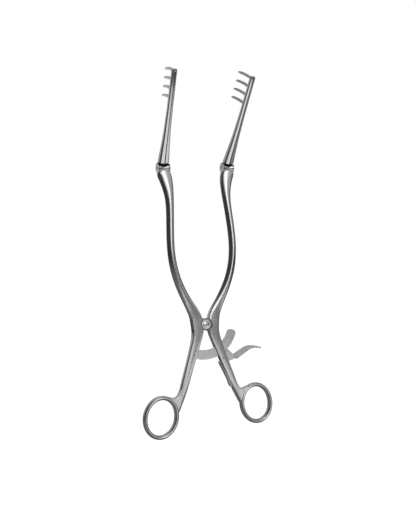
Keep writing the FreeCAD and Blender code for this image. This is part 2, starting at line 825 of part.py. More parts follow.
def knuckle_placement(side, fold):
    """Return the placement of a blade or pin: on the pin axis, leaning out, folded to the front."""
    spot = FreeCAD.Vector(side * SIZES["pin_reach"], middle_depth().value, SIZES["pin_rise"])
    lean = FreeCAD.Rotation(FreeCAD.Vector(0, 1, 0), side * SIZES["blade_lean"])
    tilt = FreeCAD.Rotation(FreeCAD.Vector(1, 0, 0), fold)
    return FreeCAD.Placement(spot, lean * tilt)


def make_blade(doc, name, side, fold):
    """Make a rake blade about its own pin axis, then set it on the arm at its stored fold."""
    body = new_body(doc, name)
    add_blade_bar(body)
    add_prongs(body, side)
    add_tongue(body)
    body.Placement = knuckle_placement(side, fold)
    return body


def make_blade_pin(doc, name, side):
    """Make the flush pin through a knuckle and the blade's eye."""
    body = new_body(doc, name)
    outline = side_sketch(body, "pin_outline")
    draw_circle(outline, size("blade_pin_radius"))
    add_pad(body, "pin", outline, size("knuckle_width") - 2 * size("running_gap"), both_ways=True)
    body.Placement = knuckle_placement(side, 0.0)
    return body


def screw_profile(body, name, steps):
    """Turn a stepped shaft about the sketch's upright axis.

    steps lists (radius, end), starting from zero: each radius holds as far as its end.
    """
    sketch = side_sketch(body, name)
    corners = [(0.0, 0.0)]
    low = 0.0
    for radius, end in steps:
        corners += [(radius, low), (radius, end)]
        low = end
    corners.append((0.0, low))
    draw_outline(sketch, corners)
    turn_profile(body, f"{name}_shaft", "Revolution", sketch)


def cut_driver_slot(body, name, top, width, depth, turn):
    """Cut a screwdriver slot across a head whose top lies at the given height."""
    sketch = new_sketch(body, name, "XY_Plane", (0.0, 0.0, top), (0, 0, 1), turn)
    reach = 2 * size("head_radius")
    draw_outline(sketch, [(-reach, -width / 2), (reach, -width / 2), (reach, width / 2), (-reach, width / 2)])
    cut_pocket(body, f"{name}_cut", sketch, depth)


def make_pivot_screw(doc):
    """Make the slotted shoulder screw: threaded into the right half, turning in the left half's bush."""
    body = new_body(doc, "pivot_screw")
    front = half_lap() + size("boss_proud")
    thread = front - size("lap_gap") / 2
    shoulder = thread + size("lap_gap") + front - size("head_height")
    top = thread + size("lap_gap") / 2 + front
    screw_profile(body, "screw", (
        (size("thread_radius"), thread + size("lap_gap") / 2),
        (size("shoulder_radius"), top - size("head_height")),
        (size("head_radius"), top),
    ))
    cut_driver_slot(body, "driver_slot", top, size("screw_slot_width"), size("screw_slot_depth"),
                    size("screw_slot_turn"))
    body.Placement = FreeCAD.Placement(FreeCAD.Vector(0, 0, 0), FreeCAD.Rotation(FreeCAD.Vector(1, 0, 0), 90))
    return body


def make_pivot_bush(doc):
    """Make the bush pressed into the left half's boss, with a seat for the screw's head."""
    body = new_body(doc, "pivot_bush")
    height = half_lap() + size("boss_proud") - size("lap_gap") / 2
    gap = size("running_gap")
    head_floor = height - size("head_height") - gap
    rim = size("bush_rim")
    sketch = side_sketch(body, "bush_profile")
    draw_outline(sketch, [
        (size("shoulder_radius") + gap, 0.0), (size("bush_radius"), 0.0), (size("bush_radius"), height - rim),
        (size("bush_radius") - rim, height), (size("head_radius") + gap, height),
        (size("head_radius") + gap, head_floor), (size("shoulder_radius") + gap, head_floor),
    ])
    turn_profile(body, "bush", "Revolution", sketch)
    depth = middle_depth().value - SIZES["lap_gap"] / 2
    body.Placement = FreeCAD.Placement(FreeCAD.Vector(0, depth, 0),
                                       FreeCAD.Rotation(FreeCAD.Vector(1, 0, 0), 90))
    return body


def make_ratchet_bar(doc):
    """Make the curved bar, concentric with the pivot, with saw teeth along its outer edge."""
    body = new_body(doc, "ratchet_bar")
    inner = size("bar_inner_radius")
    outer = inner + size("bar_width")
    root_angle, end, bend = size("bar_root_angle"), size("bar_end_angle"), size("bar_end_round")
    per_degree = math.pi / 180
    inner_start = end - bend / (inner * per_degree)
    outer_start = end - bend / (outer * per_degree)
    sketch = flat_sketch(body, "bar_outline", middle_depth())
    draw_outline(sketch, [
        (*below_pivot(LEFT, inner, root_angle), inner),
        (*below_pivot(RIGHT, inner, inner_start), -bend),
        below_pivot(RIGHT, inner + bend, end),
        (*below_pivot(RIGHT, outer - bend, end), -bend),
        (*below_pivot(RIGHT, outer, outer_start), -outer),
        below_pivot(LEFT, outer, root_angle),
    ])
    add_pad(body, "bar", sketch, size("bar_thickness"), both_ways=True)
    for mark, radius in bar_pin_radii():
        bore = flat_sketch(body, f"{mark}_bore", middle_depth())
        spot = below_pivot(LEFT, radius, size("bar_pin_angle"))
        draw_circle(bore, size("bar_pin_radius") + size("press_gap"), spot)
        cut_pocket(body, f"{mark}_hole", bore, 2 * size("bar_thickness"), both_ways=True)

    first, pitch = -size("tooth_first_angle"), size("tooth_pitch")
    gap = flat_sketch(body, "tooth_gap", middle_depth())
    draw_outline(gap, [
        below_pivot(RIGHT, outer + 0.3, first),
        below_pivot(RIGHT, outer - size("tooth_depth"), first),
        below_pivot(RIGHT, outer + 0.15, first + 0.85 * pitch),
    ])
    cut = cut_pocket(body, "tooth", gap, 2 * size("bar_thickness"), both_ways=True)
    teeth = body.newObject("PartDesign::PolarPattern", "teeth")
    teeth.Originals = [cut]
    teeth.Axis = (origin_plane(body, "Y_Axis"), [""])
    teeth.Reversed = True
    teeth.Angle = value_of((size("tooth_count") - 1) * pitch)
    bind(teeth, "Angle", (size("tooth_count") - 1) * pitch)
    teeth.Occurrences = int(SIZES["tooth_count"])
    bind(teeth, "Occurrences", size("tooth_count"))
    body.Tip = teeth
    finish_feature(body, teeth, False)
    return body


def make_cross_pin(doc, name, spot, radius, depth):
    """Make a rivet along Y, flush with both faces of the bar or shank that it holds."""
    body = new_body(doc, name)
    outline = flat_sketch(body, "rivet_outline", 0.0)
    draw_circle(outline, radius)
    add_pad(body, "rivet", outline, depth, both_ways=True)
    body.Placement = FreeCAD.Placement(
        FreeCAD.Vector(value_of(spot[0]), middle_depth().value, value_of(spot[1])), FreeCAD.Rotation())
    return body


def make_release_lever(doc):
    """Make the lever: pawl and eye inside the shank's slot, thumb plate outside it."""
    body = new_body(doc, "release_lever")
    pin = lever_pin_spot()
    eye = size("lever_eye_radius")
    outer = size("bar_inner_radius") + size("bar_width") + size("pawl_gap")
    tip = below_pivot(RIGHT, outer, size("pawl_angle"))
    heel = below_pivot(RIGHT, outer + 0.5, size("pawl_angle") - 7)
    blade = flat_sketch(body, "pawl_outline", middle_depth())
    root_reach, root_drop = size("lever_root_reach"), size("lever_root_drop")
    thick = size("lever_root_thickness")
    tail = along_shank(RIGHT, size("tail_along"), size("tail_offset"))
    tail_top = along_shank(RIGHT, size("tail_along") - 1.6, size("tail_offset"))
    foot = along_shank(RIGHT, size("tail_along") + 1.2, -0.6)
    draw_outline(blade, [
        tip,
        (root_reach, -root_drop),
        (root_reach + thick * 0.5, -1.0 * root_drop - thick * 0.85),
        (root_reach - 3.2, -1.0 * root_drop - thick * 1.25),
        foot,
        tail,
        tail_top,
        (pin[0] - eye * 0.75, pin[1] + eye * 0.4),
        heel,
    ])
    add_pad(body, "pawl", blade, size("bar_thickness"), both_ways=True)

    crest = (size("thumb_crest_reach"), -size("thumb_crest_drop"))
    fall = (size("thumb_fall_reach"), -size("thumb_fall_drop"))
    end = (size("thumb_tip_reach"), -size("thumb_tip_drop"))
    middle, thin = size("thumb_middle_thickness"), size("thumb_tip_thickness")
    radius = size("thumb_crest_radius")
    plate = flat_sketch(body, "thumb_outline", middle_depth())
    draw_outline(plate, [
        (root_reach, -root_drop), (root_reach + 1.6, -1.0 * root_drop - thick),
        (crest[0] + 2.2, crest[1] - middle, -(radius - middle)),
        (fall[0] - 0.6, fall[1] - 0.75 * middle),
        (end[0] - 0.2, end[1] - thin),
        end,
        (*fall, radius),
        crest,
    ])
    add_pad(body, "thumb_plate", plate, size("thumb_width"), both_ways=True)
    corner = size("thumb_corner")
    width = size("thumb_width") / 2
    for mark, front in (("front", -1), ("back", 1)):
        trim = new_sketch(body, f"{mark}_trim", "XY_Plane", (0.0, middle_depth(), 0.0))
        far = end[0] + 1.0
        corners = [
            (end[0] - corner, front * (width + 1.0)), (far, front * (width + 1.0)), (far, front * (width - corner)),
            (end[0], front * (width - corner), front * corner), (end[0] - corner, front * width),
        ]
        draw_outline(trim, corners)
        cut_pocket(body, f"{mark}_corner", trim, 2 * size("ring_drop"), both_ways=True)
    bore = flat_sketch(body, "lever_bore", middle_depth())
    draw_circle(bore, size("lever_pin_radius") + size("running_gap"), pin)
    cut_pocket(body, "lever_hole", bore, 2 * size("bar_thickness"), both_ways=True)
    return body


def make_leaf_spring(doc):
    """Make the leaf that presses the lever's tail: foot on the shank, free end bent down to the tail."""
    body = new_body(doc, "leaf_spring")
    thick = size("leaf_thickness")
    foot, bend, top = size("leaf_foot_along"), size("leaf_bend_along"), size("leaf_top_along")
    seat = size("leaf_seat") + size("press_gap")
    lift = seat + size("leaf_top_lift")
    hook = size("tail_offset") + size("leaf_tail_gap")
    outline = flat_sketch(body, "leaf_outline", middle_depth())
    draw_outline(outline, [
        along_shank(RIGHT, foot, seat),
        along_shank(RIGHT, bend, seat),
        along_shank(RIGHT, top + 1.3, lift - thick),
        along_shank(RIGHT, top + 1.0, hook),
        along_shank(RIGHT, top + 0.3, hook),
        along_shank(RIGHT, top, lift - 0.8),
        along_shank(RIGHT, top + 0.4, lift),
        along_shank(RIGHT, bend, seat + thick),
        along_shank(RIGHT, foot, seat + thick),
    ])
    add_pad(body, "leaf", outline, size("leaf_width"), both_ways=True)
    reach, rise = along_shank(RIGHT, leaf_screw_along(), size("shoulder_width"))
    hole = cross_sketch(body, "leaf_hole_outline", reach, middle_depth(), rise, inward_lean())
    draw_circle(hole, size("leaf_screw_radius") + size("press_gap"))
    cut_pocket(body, "leaf_hole", hole, size("shoulder_width"))
    return body


def make_spring_screw(doc):
    """Make the small slotted screw that holds the leaf spring's foot."""
    body = new_body(doc, "spring_screw")
    gap = size("press_gap")
    shaft = size("leaf_screw_length") + size("leaf_thickness") + gap
    top = shaft + size("leaf_screw_head_height")
    screw_profile(body, "screw", ((size("leaf_screw_radius"), shaft), (size("leaf_screw_head_radius"), top)))
    cut_driver_slot(body, "driver_slot", top, size("leaf_screw_slot_width"), size("leaf_screw_slot_depth"), 30)
    start = size("leaf_seat") - size("leaf_screw_length") + gap
    reach, rise = along_shank(RIGHT, leaf_screw_along(), start)
    spot = FreeCAD.Vector(reach.value, middle_depth().value, rise.value)
    turn = FreeCAD.Rotation(FreeCAD.Vector(0, 1, 0), inward_lean().value)
    body.Placement = FreeCAD.Placement(spot, turn)
    return body


def check_document(doc):
    """Stop if any object failed to compute."""
    doc.recompute()
    for thing in doc.Objects:
        if "Invalid" in thing.State or "Error" in thing.State:
            raise RuntimeError(f"{thing.Name} is {thing.State}")


def export(bodies):
    """Check each piece and write it to its own file."""
    os.makedirs("parts", exist_ok=True)
    for body in bodies:
        shape = body.Shape
        if shape.isNull() or not shape.isValid() or len(shape.Solids) != 1:
            raise RuntimeError(f"{body.Label} is not one valid solid")
        shape.exportStep(f"parts/{body.Label}.step")
        box = shape.BoundBox
        print(f"{body.Label}: {shape.Volume:.1f} mm3, X {box.XMin:.1f} to {box.XMax:.1f}, "
              f"Y {box.YMin:.1f} to {box.YMax:.1f}, Z {box.ZMin:.1f} to {box.ZMax:.1f}")


def main():
    doc = FreeCAD.newDocument("Retractor")
    make_sheet(doc)
    bodies = [
        make_left_half(doc),
        make_right_half(doc),
        make_pivot_screw(doc),
        make_pivot_bush(doc),
        make_ratchet_bar(doc),
        make_release_lever(doc),
        make_cross_pin(doc, "lever_pin", lever_pin_spot(), size("lever_pin_radius"), size("shank_depth")),
        make_leaf_spring(doc),
        make_spring_screw(doc),
    ]
    for name, radius in bar_pin_radii():
        spot = below_pivot(LEFT, radius, size("bar_pin_angle"))
        bodies.append(make_cross_pin(doc, name, spot, size("bar_pin_radius"), size("shank_depth")))
    for name, side in (("left", LEFT), ("right", RIGHT)):
        bodies.append(make_blade(doc, f"{name}_blade", side, SIZES[f"{name}_fold"]))
        bodies.append(make_blade_pin(doc, f"{name}_blade_pin", side))
    check_document(doc)
    export(bodies)


main()
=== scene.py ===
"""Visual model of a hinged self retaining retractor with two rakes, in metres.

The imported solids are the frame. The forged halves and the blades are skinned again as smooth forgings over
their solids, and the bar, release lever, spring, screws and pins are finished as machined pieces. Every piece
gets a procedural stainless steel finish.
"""
from __future__ import annotations

import json
import logging
import math
from collections.abc import Callable
from dataclasses import dataclass, field
from enum import Enum

import bmesh
import bpy
from mathutils import Matrix, Vector

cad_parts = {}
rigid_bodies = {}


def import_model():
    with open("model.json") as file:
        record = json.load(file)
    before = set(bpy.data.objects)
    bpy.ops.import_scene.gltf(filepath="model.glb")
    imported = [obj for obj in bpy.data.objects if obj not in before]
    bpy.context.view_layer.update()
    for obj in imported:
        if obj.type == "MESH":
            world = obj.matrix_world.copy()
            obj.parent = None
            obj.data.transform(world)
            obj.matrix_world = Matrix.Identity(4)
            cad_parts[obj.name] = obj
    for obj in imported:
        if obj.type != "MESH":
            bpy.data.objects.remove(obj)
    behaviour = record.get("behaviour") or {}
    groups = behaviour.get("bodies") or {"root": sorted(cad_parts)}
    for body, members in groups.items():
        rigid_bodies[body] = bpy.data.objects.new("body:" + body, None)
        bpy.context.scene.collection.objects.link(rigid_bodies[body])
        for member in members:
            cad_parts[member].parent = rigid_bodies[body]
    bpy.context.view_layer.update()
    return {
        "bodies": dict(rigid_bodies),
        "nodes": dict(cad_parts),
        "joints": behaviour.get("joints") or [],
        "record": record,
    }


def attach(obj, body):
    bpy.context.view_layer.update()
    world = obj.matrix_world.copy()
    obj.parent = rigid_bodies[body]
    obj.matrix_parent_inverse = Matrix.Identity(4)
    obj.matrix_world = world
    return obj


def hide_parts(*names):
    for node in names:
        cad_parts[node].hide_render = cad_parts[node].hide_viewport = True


LOG = logging.getLogger("retractor")
MM = 0.001
MIDDLE_Y = -3.41


class Side(Enum):
    """The two halves of the instrument, as seen from the front."""

    LEFT = -1
    RIGHT = 1

    @property
    def word(self) -> str:
        """Return the side's name in small letters."""
        return self.name.lower()


class Grain(Enum):
    """Where the grinding lines of a finish run."""

    FORM = "form"
    TURNED = "turned"


class Run(Enum):
    """How a machined piece was ground: straight, or in arcs about the pivot."""

    STRAIGHT = "straight"
    ARC = "arc"


# Shader building


class Link:
    """A shader socket with arithmetic: each operation adds its own Math node."""

    def __init__(self, tree: bpy.types.NodeTree, socket: bpy.types.NodeSocket | None) -> None:
        """Wrap an output socket of a tree."""
        self.tree = tree
        self.socket = socket

    def _math(self, operation: str, first: object, second: object) -> Link:
        """Add a Math node.

        Args:
            operation: the node's operation.
            first: a link or number for its first input.
            second: a link or number for its second input.

        Returns:
            The link to its value.
        """
        return add_node(self.tree, "ShaderNodeMath", {"operation": operation}, {0: first, 1: second})

    def __add__(self, other: object) -> Link:
        """Return the sum."""
        return self._math("ADD", self, other)

    def __radd__(self, other: object) -> Link:
        """Return the sum, reflected."""
        return self._math("ADD", other, self)

    def __sub__(self, other: object) -> Link:
        """Return the difference."""
        return self._math("SUBTRACT", self, other)

    def __rsub__(self, other: object) -> Link:
        """Return the difference, reflected."""
        return self._math("SUBTRACT", other, self)

    def __mul__(self, other: object) -> Link:
        """Return the product."""
        return self._math("MULTIPLY", self, other)

    def __rmul__(self, other: object) -> Link:
        """Return the product, reflected."""
        return self._math("MULTIPLY", other, self)


def add_node(
    tree: bpy.types.NodeTree,
    kind: str,
    settings: dict[str, object] | None = None,
    values: dict[object, object] | None = None,
    out: object = 0,
) -> Link:
    """Add a shader node.

    Args:
        tree: the material's or world's node tree.
        kind: the node's type.
        settings: properties that are set first; stops lists a ramp's (position, grey or colour).
        values: input sockets by name or number, each a link or a value.
        out: the output socket to return, by name or number; None for a node with none.

    Returns:
        The link to the chosen output.
    """
    node = tree.nodes.new(kind)
    for name, value in (settings or {}).items():
        if name == "stops":
            _set_stops(node.color_ramp, value)
        else:
            setattr(node, name, value)
    for name, value in (values or {}).items():
        if isinstance(value, Link):
            tree.links.new(value.socket, node.inputs[name])
        else:
            node.inputs[name].default_value = value
    return Link(tree, None if out is None else node.outputs[out])


def _set_stops(ramp: bpy.types.ColorRamp, stops: list[tuple[float, object]]) -> None:
    """Set a ramp's stops.

    Args:
        ramp: the colour ramp.
        stops: (position, grey value or RGB triple) in order.
    """
    while len(ramp.elements) < len(stops):
        ramp.elements.new(1.0)
    for element, (position, shade) in zip(ramp.elements, stops):
        colour = (shade, shade, shade) if isinstance(shade, (int, float)) else shade
        element.position = position
        element.color = (*colour, 1.0)


def grey_link(tree: bpy.types.NodeTree, value: object) -> Link:
    """Return a colour whose three channels are one value."""
    return add_node(tree, "ShaderNodeCombineColor", values={0: value, 1: value, 2: value})


def new_material(name: str) -> bpy.types.Material:
    """Return an empty node material."""
    material = bpy.data.materials.new(name)
    material.use_nodes = True
    material.node_tree.nodes.clear()
    return material


@dataclass(frozen=True)
class SteelFinish:
    """A stainless steel finish: grinding lines and fine pitting over a faint cloudiness, with painted shade on marked
    faces.

    Attributes:
        name: the material's name.
        grey: mean reflectance of the steel.
        roughness: mean roughness.
        grain: whether the lines follow the form or a lathe's rings.
        line_density: grinding lines per metre across their run.
        line_depth: height of the lines for the bump, in metres.
        cloud: strength of the slow variation in roughness and tone.
        edge: how much brighter and smoother the rubbed edges are.
    """

    name: str
    grey: float
    roughness: float
    grain: Grain
    line_density: float
    line_depth: float
    cloud: float
    edge: float

    def make(self) -> bpy.types.Material:
        """Build the node material.

        Returns:
            The material, ready to assign.
        """
        material = new_material(self.name)
        tree = material.node_tree
        place = add_node(tree, "ShaderNodeTexCoord", out="Object")
        if self.grain is Grain.FORM:
            along = add_node(tree, "ShaderNodeAttribute", {"attribute_name": "grain"}, out="Vector")
            stretch = (self.line_density, self.line_density, self.line_density * 0.045)
        else:
            along = place
            stretch = (self.line_density, self.line_density, self.line_density)
        run = add_node(tree, "ShaderNodeMapping", values={"Vector": along, "Scale": stretch})
        lines = add_node(tree, "ShaderNodeTexNoise", values={
            "Vector": run, "Scale": 1.0, "Detail": 2.0, "Roughness": 0.55})
        scratches = add_node(tree, "ShaderNodeTexNoise", values={
            "Vector": run, "Scale": 0.23, "Detail": 1.0, "Distortion": 0.6})
        clouds = add_node(tree, "ShaderNodeTexNoise", values={"Vector": place, "Scale": 70.0, "Detail": 4.0})
        pits = add_node(tree, "ShaderNodeTexNoise", values={"Vector": place, "Scale": 2600.0, "Detail": 1.0})
        worn = add_node(tree, "ShaderNodeValToRGB", {"stops": [(0.50, 0.0), (0.60, 1.0)]},
                        {0: add_node(tree, "ShaderNodeNewGeometry", out="Pointiness")})
        nick = add_node(tree, "ShaderNodeValToRGB", {"stops": [(0.62, 0.0), (0.72, 1.0)]}, {0: scratches})
        # Painted shade: faces marked as lying in joint gaps, slots and grooves are darkened almost to black below, and
        # made rougher.
        gap = add_node(tree, "ShaderNodeAttribute", {"attribute_name": "crevice"}, out="Fac")
        rough = (self.roughness + (clouds - 0.5) * self.cloud + (lines - 0.5) * 0.04
                 + nick * 0.05 - worn * (0.25 * self.roughness) + gap * 0.3)
        tone = (1.0 + (clouds - 0.5) * (0.5 * self.cloud) + (pits - 0.5) * 0.05 + worn * self.edge - nick * 0.04
                ) * (1.0 - gap * 0.97)
        steel = (self.grey, self.grey * 1.003, self.grey * 1.01, 1.0)
        shade = add_node(tree, "ShaderNodeMix", {"data_type": "RGBA", "blend_type": "MULTIPLY"},
                         {0: 1.0, 6: steel, 7: grey_link(tree, tone)}, 2)
        bump = add_node(tree, "ShaderNodeBump", values={
            "Strength": 0.12, "Distance": self.line_depth, "Height": lines})
        shader = add_node(tree, "ShaderNodeBsdfPrincipled", values={
            "Base Color": shade, "Metallic": 1.0, "Roughness": rough, "Normal": bump})
        add_node(tree, "ShaderNodeOutputMaterial", values={"Surface": shader}, out=None)
        return material


FORGING = SteelFinish("satin_forging", 0.60, 0.25, Grain.FORM, 3200.0, 0.000004, 0.06, 0.06)
PLATE = SteelFinish("ground_plate", 0.68, 0.34, Grain.FORM, 4000.0, 0.000006, 0.08, 0.08)
TURNED = SteelFinish("turned_steel", 0.66, 0.20, Grain.TURNED, 900.0, 0.000004, 0.05, 0.06)
SPRING = SteelFinish("spring_temper", 0.50, 0.24, Grain.FORM, 4200.0, 0.000006, 0.08, 0.10)


# The studio


def heading(turn: float, rise: float) -> Vector:
    """Return a direction.

    Args:
        turn: degrees from the front towards the object's left.
        rise: degrees above the floor.

    Returns:
        The unit vector.
    """
    turn, rise = math.radians(turn), math.radians(rise)
    return Vector((-math.sin(turn) * math.cos(rise), -math.cos(turn) * math.cos(rise), math.sin(rise)))


@dataclass(frozen=True)
class Glow:
    """A soft patch of light in the surroundings.

    Attributes:
        turn: its place in degrees from the front towards the left.
        rise: its height in degrees.
        spread: the angle at which it has faded out, in degrees.
        strength: its radiance at the middle.
    """

    turn: float
    rise: float
    spread: float
    strength: float

    def shine(self, tree: bpy.types.NodeTree, direction: Link) -> Link:
        """Add the patch to a world.

        Args:
            tree: the world's node tree.
            direction: the link to the looked-at direction.

        Returns:
            The link to its radiance.
        """
        facing = add_node(tree, "ShaderNodeVectorMath", {"operation": "DOT_PRODUCT"},
                          {0: direction, 1: heading(self.turn, self.rise)}, "Value")
        return add_node(tree, "ShaderNodeMapRange", {"interpolation_type": "SMOOTHERSTEP"}, {
            "Value": facing, "From Min": math.cos(math.radians(self.spread)), "From Max": 1.0,
            "To Min": 0.0, "To Max": self.strength})


@dataclass
class Studio:
    """Camera, lamps, floor and surroundings."""

    camera_place: tuple[float, float, float] = (-0.2603, -0.5762, 0.0591)
    azimuth: float = -25.0
    elevation: float = 0.2
    roll: float = -3.4
    focal_px: float = 706.0
    frame_height_px: float = 520.0
    floor_z: float = -0.1085
    gloom: float = 0.05
    floor_lift: float = 0.89
    # Where the pool of light painted into the floor for reflections lies, and how strong it is.
    pool: tuple[float, float, float] = (0.065, -0.245, -0.1085)
    pool_light: float = 0.90
    backdrop: Glow = Glow(-155.0, 0.0, 14.0, 1.0)
    glows: list[Glow] = field(default_factory=lambda: [
        Glow(0.0, 6.0, 32.0, 1.25),
        Glow(-35.0, 5.0, 52.0, 0.50),
        Glow(-100.0, 10.0, 60.0, 0.14),
        Glow(150.0, 5.0, 45.0, 0.32),
        Glow(-172.0, 18.0, 45.0, 0.40),
        Glow(0.0, 90.0, 55.0, 0.40),
    ])

    def build(self) -> None:
        """Make the whole studio."""
        self.add_camera()
        self.add_world()
        self.add_floor()
        self.add_lamps()
        bpy.context.scene.view_settings.view_transform = "Standard"

    def add_camera(self) -> None:
        """Place the camera as the photographer stood."""
        data = bpy.data.cameras.new("camera")
        data.sensor_width = 36.0
        data.lens = self.focal_px * 36.0 / self.frame_height_px
        data.clip_start = 0.01
        data.clip_end = 20.0
        camera = bpy.data.objects.new("camera", data)
        bpy.context.scene.collection.objects.link(camera)
        turn, rise, roll = (math.radians(a) for a in (self.azimuth, self.elevation, self.roll))
        right = Vector((math.cos(turn), math.sin(turn), 0.0))
        up = Vector((-math.sin(turn) * math.sin(rise), math.cos(turn) * math.sin(rise), math.cos(rise)))
        back = Vector((math.sin(turn) * math.cos(rise), -math.cos(turn) * math.cos(rise), math.sin(rise)))
        rolled_right = right * math.cos(roll) + up * math.sin(roll)
        rolled_up = up * math.cos(roll) - right * math.sin(roll)
        axes = Matrix((rolled_right, rolled_up, back)).transposed()
        camera.matrix_world = Matrix.Translation(self.camera_place) @ axes.to_4x4()
        bpy.context.scene.camera = camera

    def add_world(self) -> None:
        """Light the object softly from the front, the top and behind, and show white behind it."""
        world = bpy.data.worlds.new("studio")
        bpy.context.scene.world = world
        world.use_nodes = True
        tree = world.node_tree
        tree.nodes.clear()
        direction = add_node(tree, "ShaderNodeTexCoord", out="Generated")
        radiance: object = self.gloom
        for glow in self.glows:
            radiance = glow.shine(tree, direction) + radiance
        light = add_node(tree, "ShaderNodeBackground", values={"Color": grey_link(tree, radiance), "Strength": 1.0})
        white = add_node(tree, "ShaderNodeBackground", values={"Color": (1.0, 1.0, 1.0, 1.0), "Strength": 1.0})
        camera = add_node(tree, "ShaderNodeLightPath", out="Is Camera Ray")
        glossy = add_node(tree, "ShaderNodeLightPath", out="Is Glossy Ray")
        through = add_node(tree, "ShaderNodeLightPath", out="Is Transmission Ray")
        seen = camera + (glossy + through) * self.backdrop.shine(tree, direction)
        mixed = add_node(tree, "ShaderNodeMixShader", values={0: seen, 1: light, 2: white})
        add_node(tree, "ShaderNodeOutputWorld", values={"Surface": mixed}, out=None)

    def add_floor(self) -> None:
        """Lay a wide white floor under the finger rings that keeps their shadows, with painted light for the steel's
        reflections.
        """
        deselect()
        bpy.ops.mesh.primitive_circle_add(vertices=96, radius=6.0, fill_type="NGON",
                                          location=(0.0, 0.0, self.floor_z))
        floor = bpy.context.active_object
        floor.name = "floor"
        bake_place(floor)
        material = new_material("white_floor")
        tree = material.node_tree
        camera = add_node(tree, "ShaderNodeLightPath", out="Is Camera Ray")
        glossy = add_node(tree, "ShaderNodeLightPath", out="Is Glossy Ray")
        through = add_node(tree, "ShaderNodeLightPath", out="Is Transmission Ray")
        place = add_node(tree, "ShaderNodeTexCoord", out="Object")
        away = add_node(tree, "ShaderNodeVectorMath", {"operation": "LENGTH"}, {0: place}, "Value")
        # Painted fall-off of light: the floor's colour darkens away from the middle, and camera rays get more lift
        # there to stay white.
        far = add_node(tree, "ShaderNodeMapRange", {"interpolation_type": "SMOOTHSTEP"}, {
            "Value": away, "From Min": 0.25, "From Max": 0.9, "To Min": 0.0, "To Max": 1.0})
        # Painted pool of light: glossy and transmission rays see a patch of emission on the floor in front of the
        # instrument.
        halved = add_node(tree, "ShaderNodeMapping", values={"Vector": place, "Scale": (0.5, 1.0, 1.0)})
        aside = add_node(tree, "ShaderNodeVectorMath", {"operation": "DISTANCE"}, {0: halved, 1: self.pool}, "Value")
        near = add_node(tree, "ShaderNodeMapRange", {"interpolation_type": "SMOOTHSTEP"}, {
            "Value": aside, "From Min": 0.08, "From Max": 0.16, "To Min": 1.0, "To Max": 0.0})
        lift = add_node(tree, "ShaderNodeEmission", values={
            "Color": (1.0, 1.0, 1.0, 1.0),
            "Strength": camera * (self.floor_lift + far * 0.2) + (glossy + through) * near * self.pool_light})
        chalk = add_node(tree, "ShaderNodeBsdfDiffuse", values={"Color": grey_link(tree, 0.45 - far * 0.35)})
        both = add_node(tree, "ShaderNodeAddShader", values={0: chalk, 1: lift})
        add_node(tree, "ShaderNodeOutputMaterial", values={"Surface": both}, out=None)
        floor.data.materials.append(material)

    def add_lamps(self) -> None:
        """Hang a tall soft box by the camera and a wide one overhead."""
        self._softbox("front_box", heading(-9.0, 8.0) * 1.1 + Vector((0.0, 0.0, 0.05)), (0.16, 0.85), 0.7)
        self._softbox("top_box", Vector((0.10, 0.05, 1.05)), (0.8, 0.8), 1.0)

    def _softbox(self, name: str, place: Vector, span: tuple[float, float], power: float) -> None:
        """Add a rectangular area lamp aimed at the instrument's middle.

        Args:
            name: the lamp's name.
            place: its position in metres.
            span: its width and height in metres.
            power: its power in watts.
        """
        data = bpy.data.lights.new(name, "AREA")
        data.shape = "RECTANGLE"
        data.size, data.size_y = span
        data.energy = power
        lamp = bpy.data.objects.new(name, data)
        bpy.context.scene.collection.objects.link(lamp)
        lamp.location = place
        lamp.rotation_mode = "QUATERNION"
        lamp.rotation_quaternion = (Vector((0.0, 0.0, 0.06)) - place).to_track_quat("-Z", "Y")


# Mesh helpers


def deselect() -> None:
    """Leave nothing selected."""
    bpy.ops.object.select_all(action="DESELECT")


def pick(piece: bpy.types.Object) -> None:
    """Make one piece the only selected and active one."""
    deselect()
    piece.select_set(True)
    bpy.context.view_layer.objects.active = piece


def bake_place(piece: bpy.types.Object) -> None:
    """Move a piece's place, turn and scale into its mesh."""
    pick(piece)
    bpy.ops.object.transform_apply(location=True, rotation=True, scale=True)


def apply_modifier(piece: bpy.types.Object, kind: str, **settings: object) -> None:
    """Add a modifier and apply it.

    Args:
        piece: the object.
        kind: the modifier's type.
        settings: its properties.
    """
    modifier = piece.modifiers.new(kind.lower(), kind)
    for name, value in settings.items():
        setattr(modifier, name, value)
    pick(piece)
    bpy.ops.object.modifier_apply(modifier=modifier.name)


def copy_solid(node: bpy.types.Object, name: str) -> bpy.types.Object:
    """Copy a solid of the frame as a piece of its own, with its loose triangles merged.

    Args:
        node: the frame's object.
        name: the piece's name.

    Returns:
        The copy.
    """
    piece = node.copy()
    piece.data = node.data.copy()
    piece.name = name
    piece.data.name = name
    for key in list(piece.keys()):
        del piece[key]
    piece.parent = None
    bpy.context.scene.collection.objects.link(piece)
    pick(piece)
    bpy.ops.object.mode_set(mode="EDIT")
    bpy.ops.mesh.select_all(action="SELECT")
    bpy.ops.mesh.remove_doubles(threshold=0.000002)
    bpy.ops.object.mode_set(mode="OBJECT")
    return piece


def mark_grain(piece: bpy.types.Object, run: Callable[[Vector], tuple[float, float, float]]) -> None:
    """Write where each point lies along and across the grinding lines.

    Args:
        piece: the object.
        run: gives (across, depth, along) in metres for a point in metres.
    """
    layer = piece.data.attributes.new("grain", "FLOAT_VECTOR", "POINT")
    for spot, vertex in zip(layer.data, piece.data.vertices):
        spot.vector = run(vertex.co)


def mark_crevices(piece: bpy.types.Object, hidden: Callable[[Vector], float]) -> None:
    """Write how much painted shade each face gets, standing in for the shade in a joint's gap, a slot or a groove.

    Args:
        piece: the object.
        hidden: gives the share of painted shade, from 0 to 1, at a face's middle in metres.
    """
    layer = piece.data.attributes.new("crevice", "FLOAT", "FACE")
    for share, face in zip(layer.data, piece.data.polygons):
        share.value = hidden(face.center)


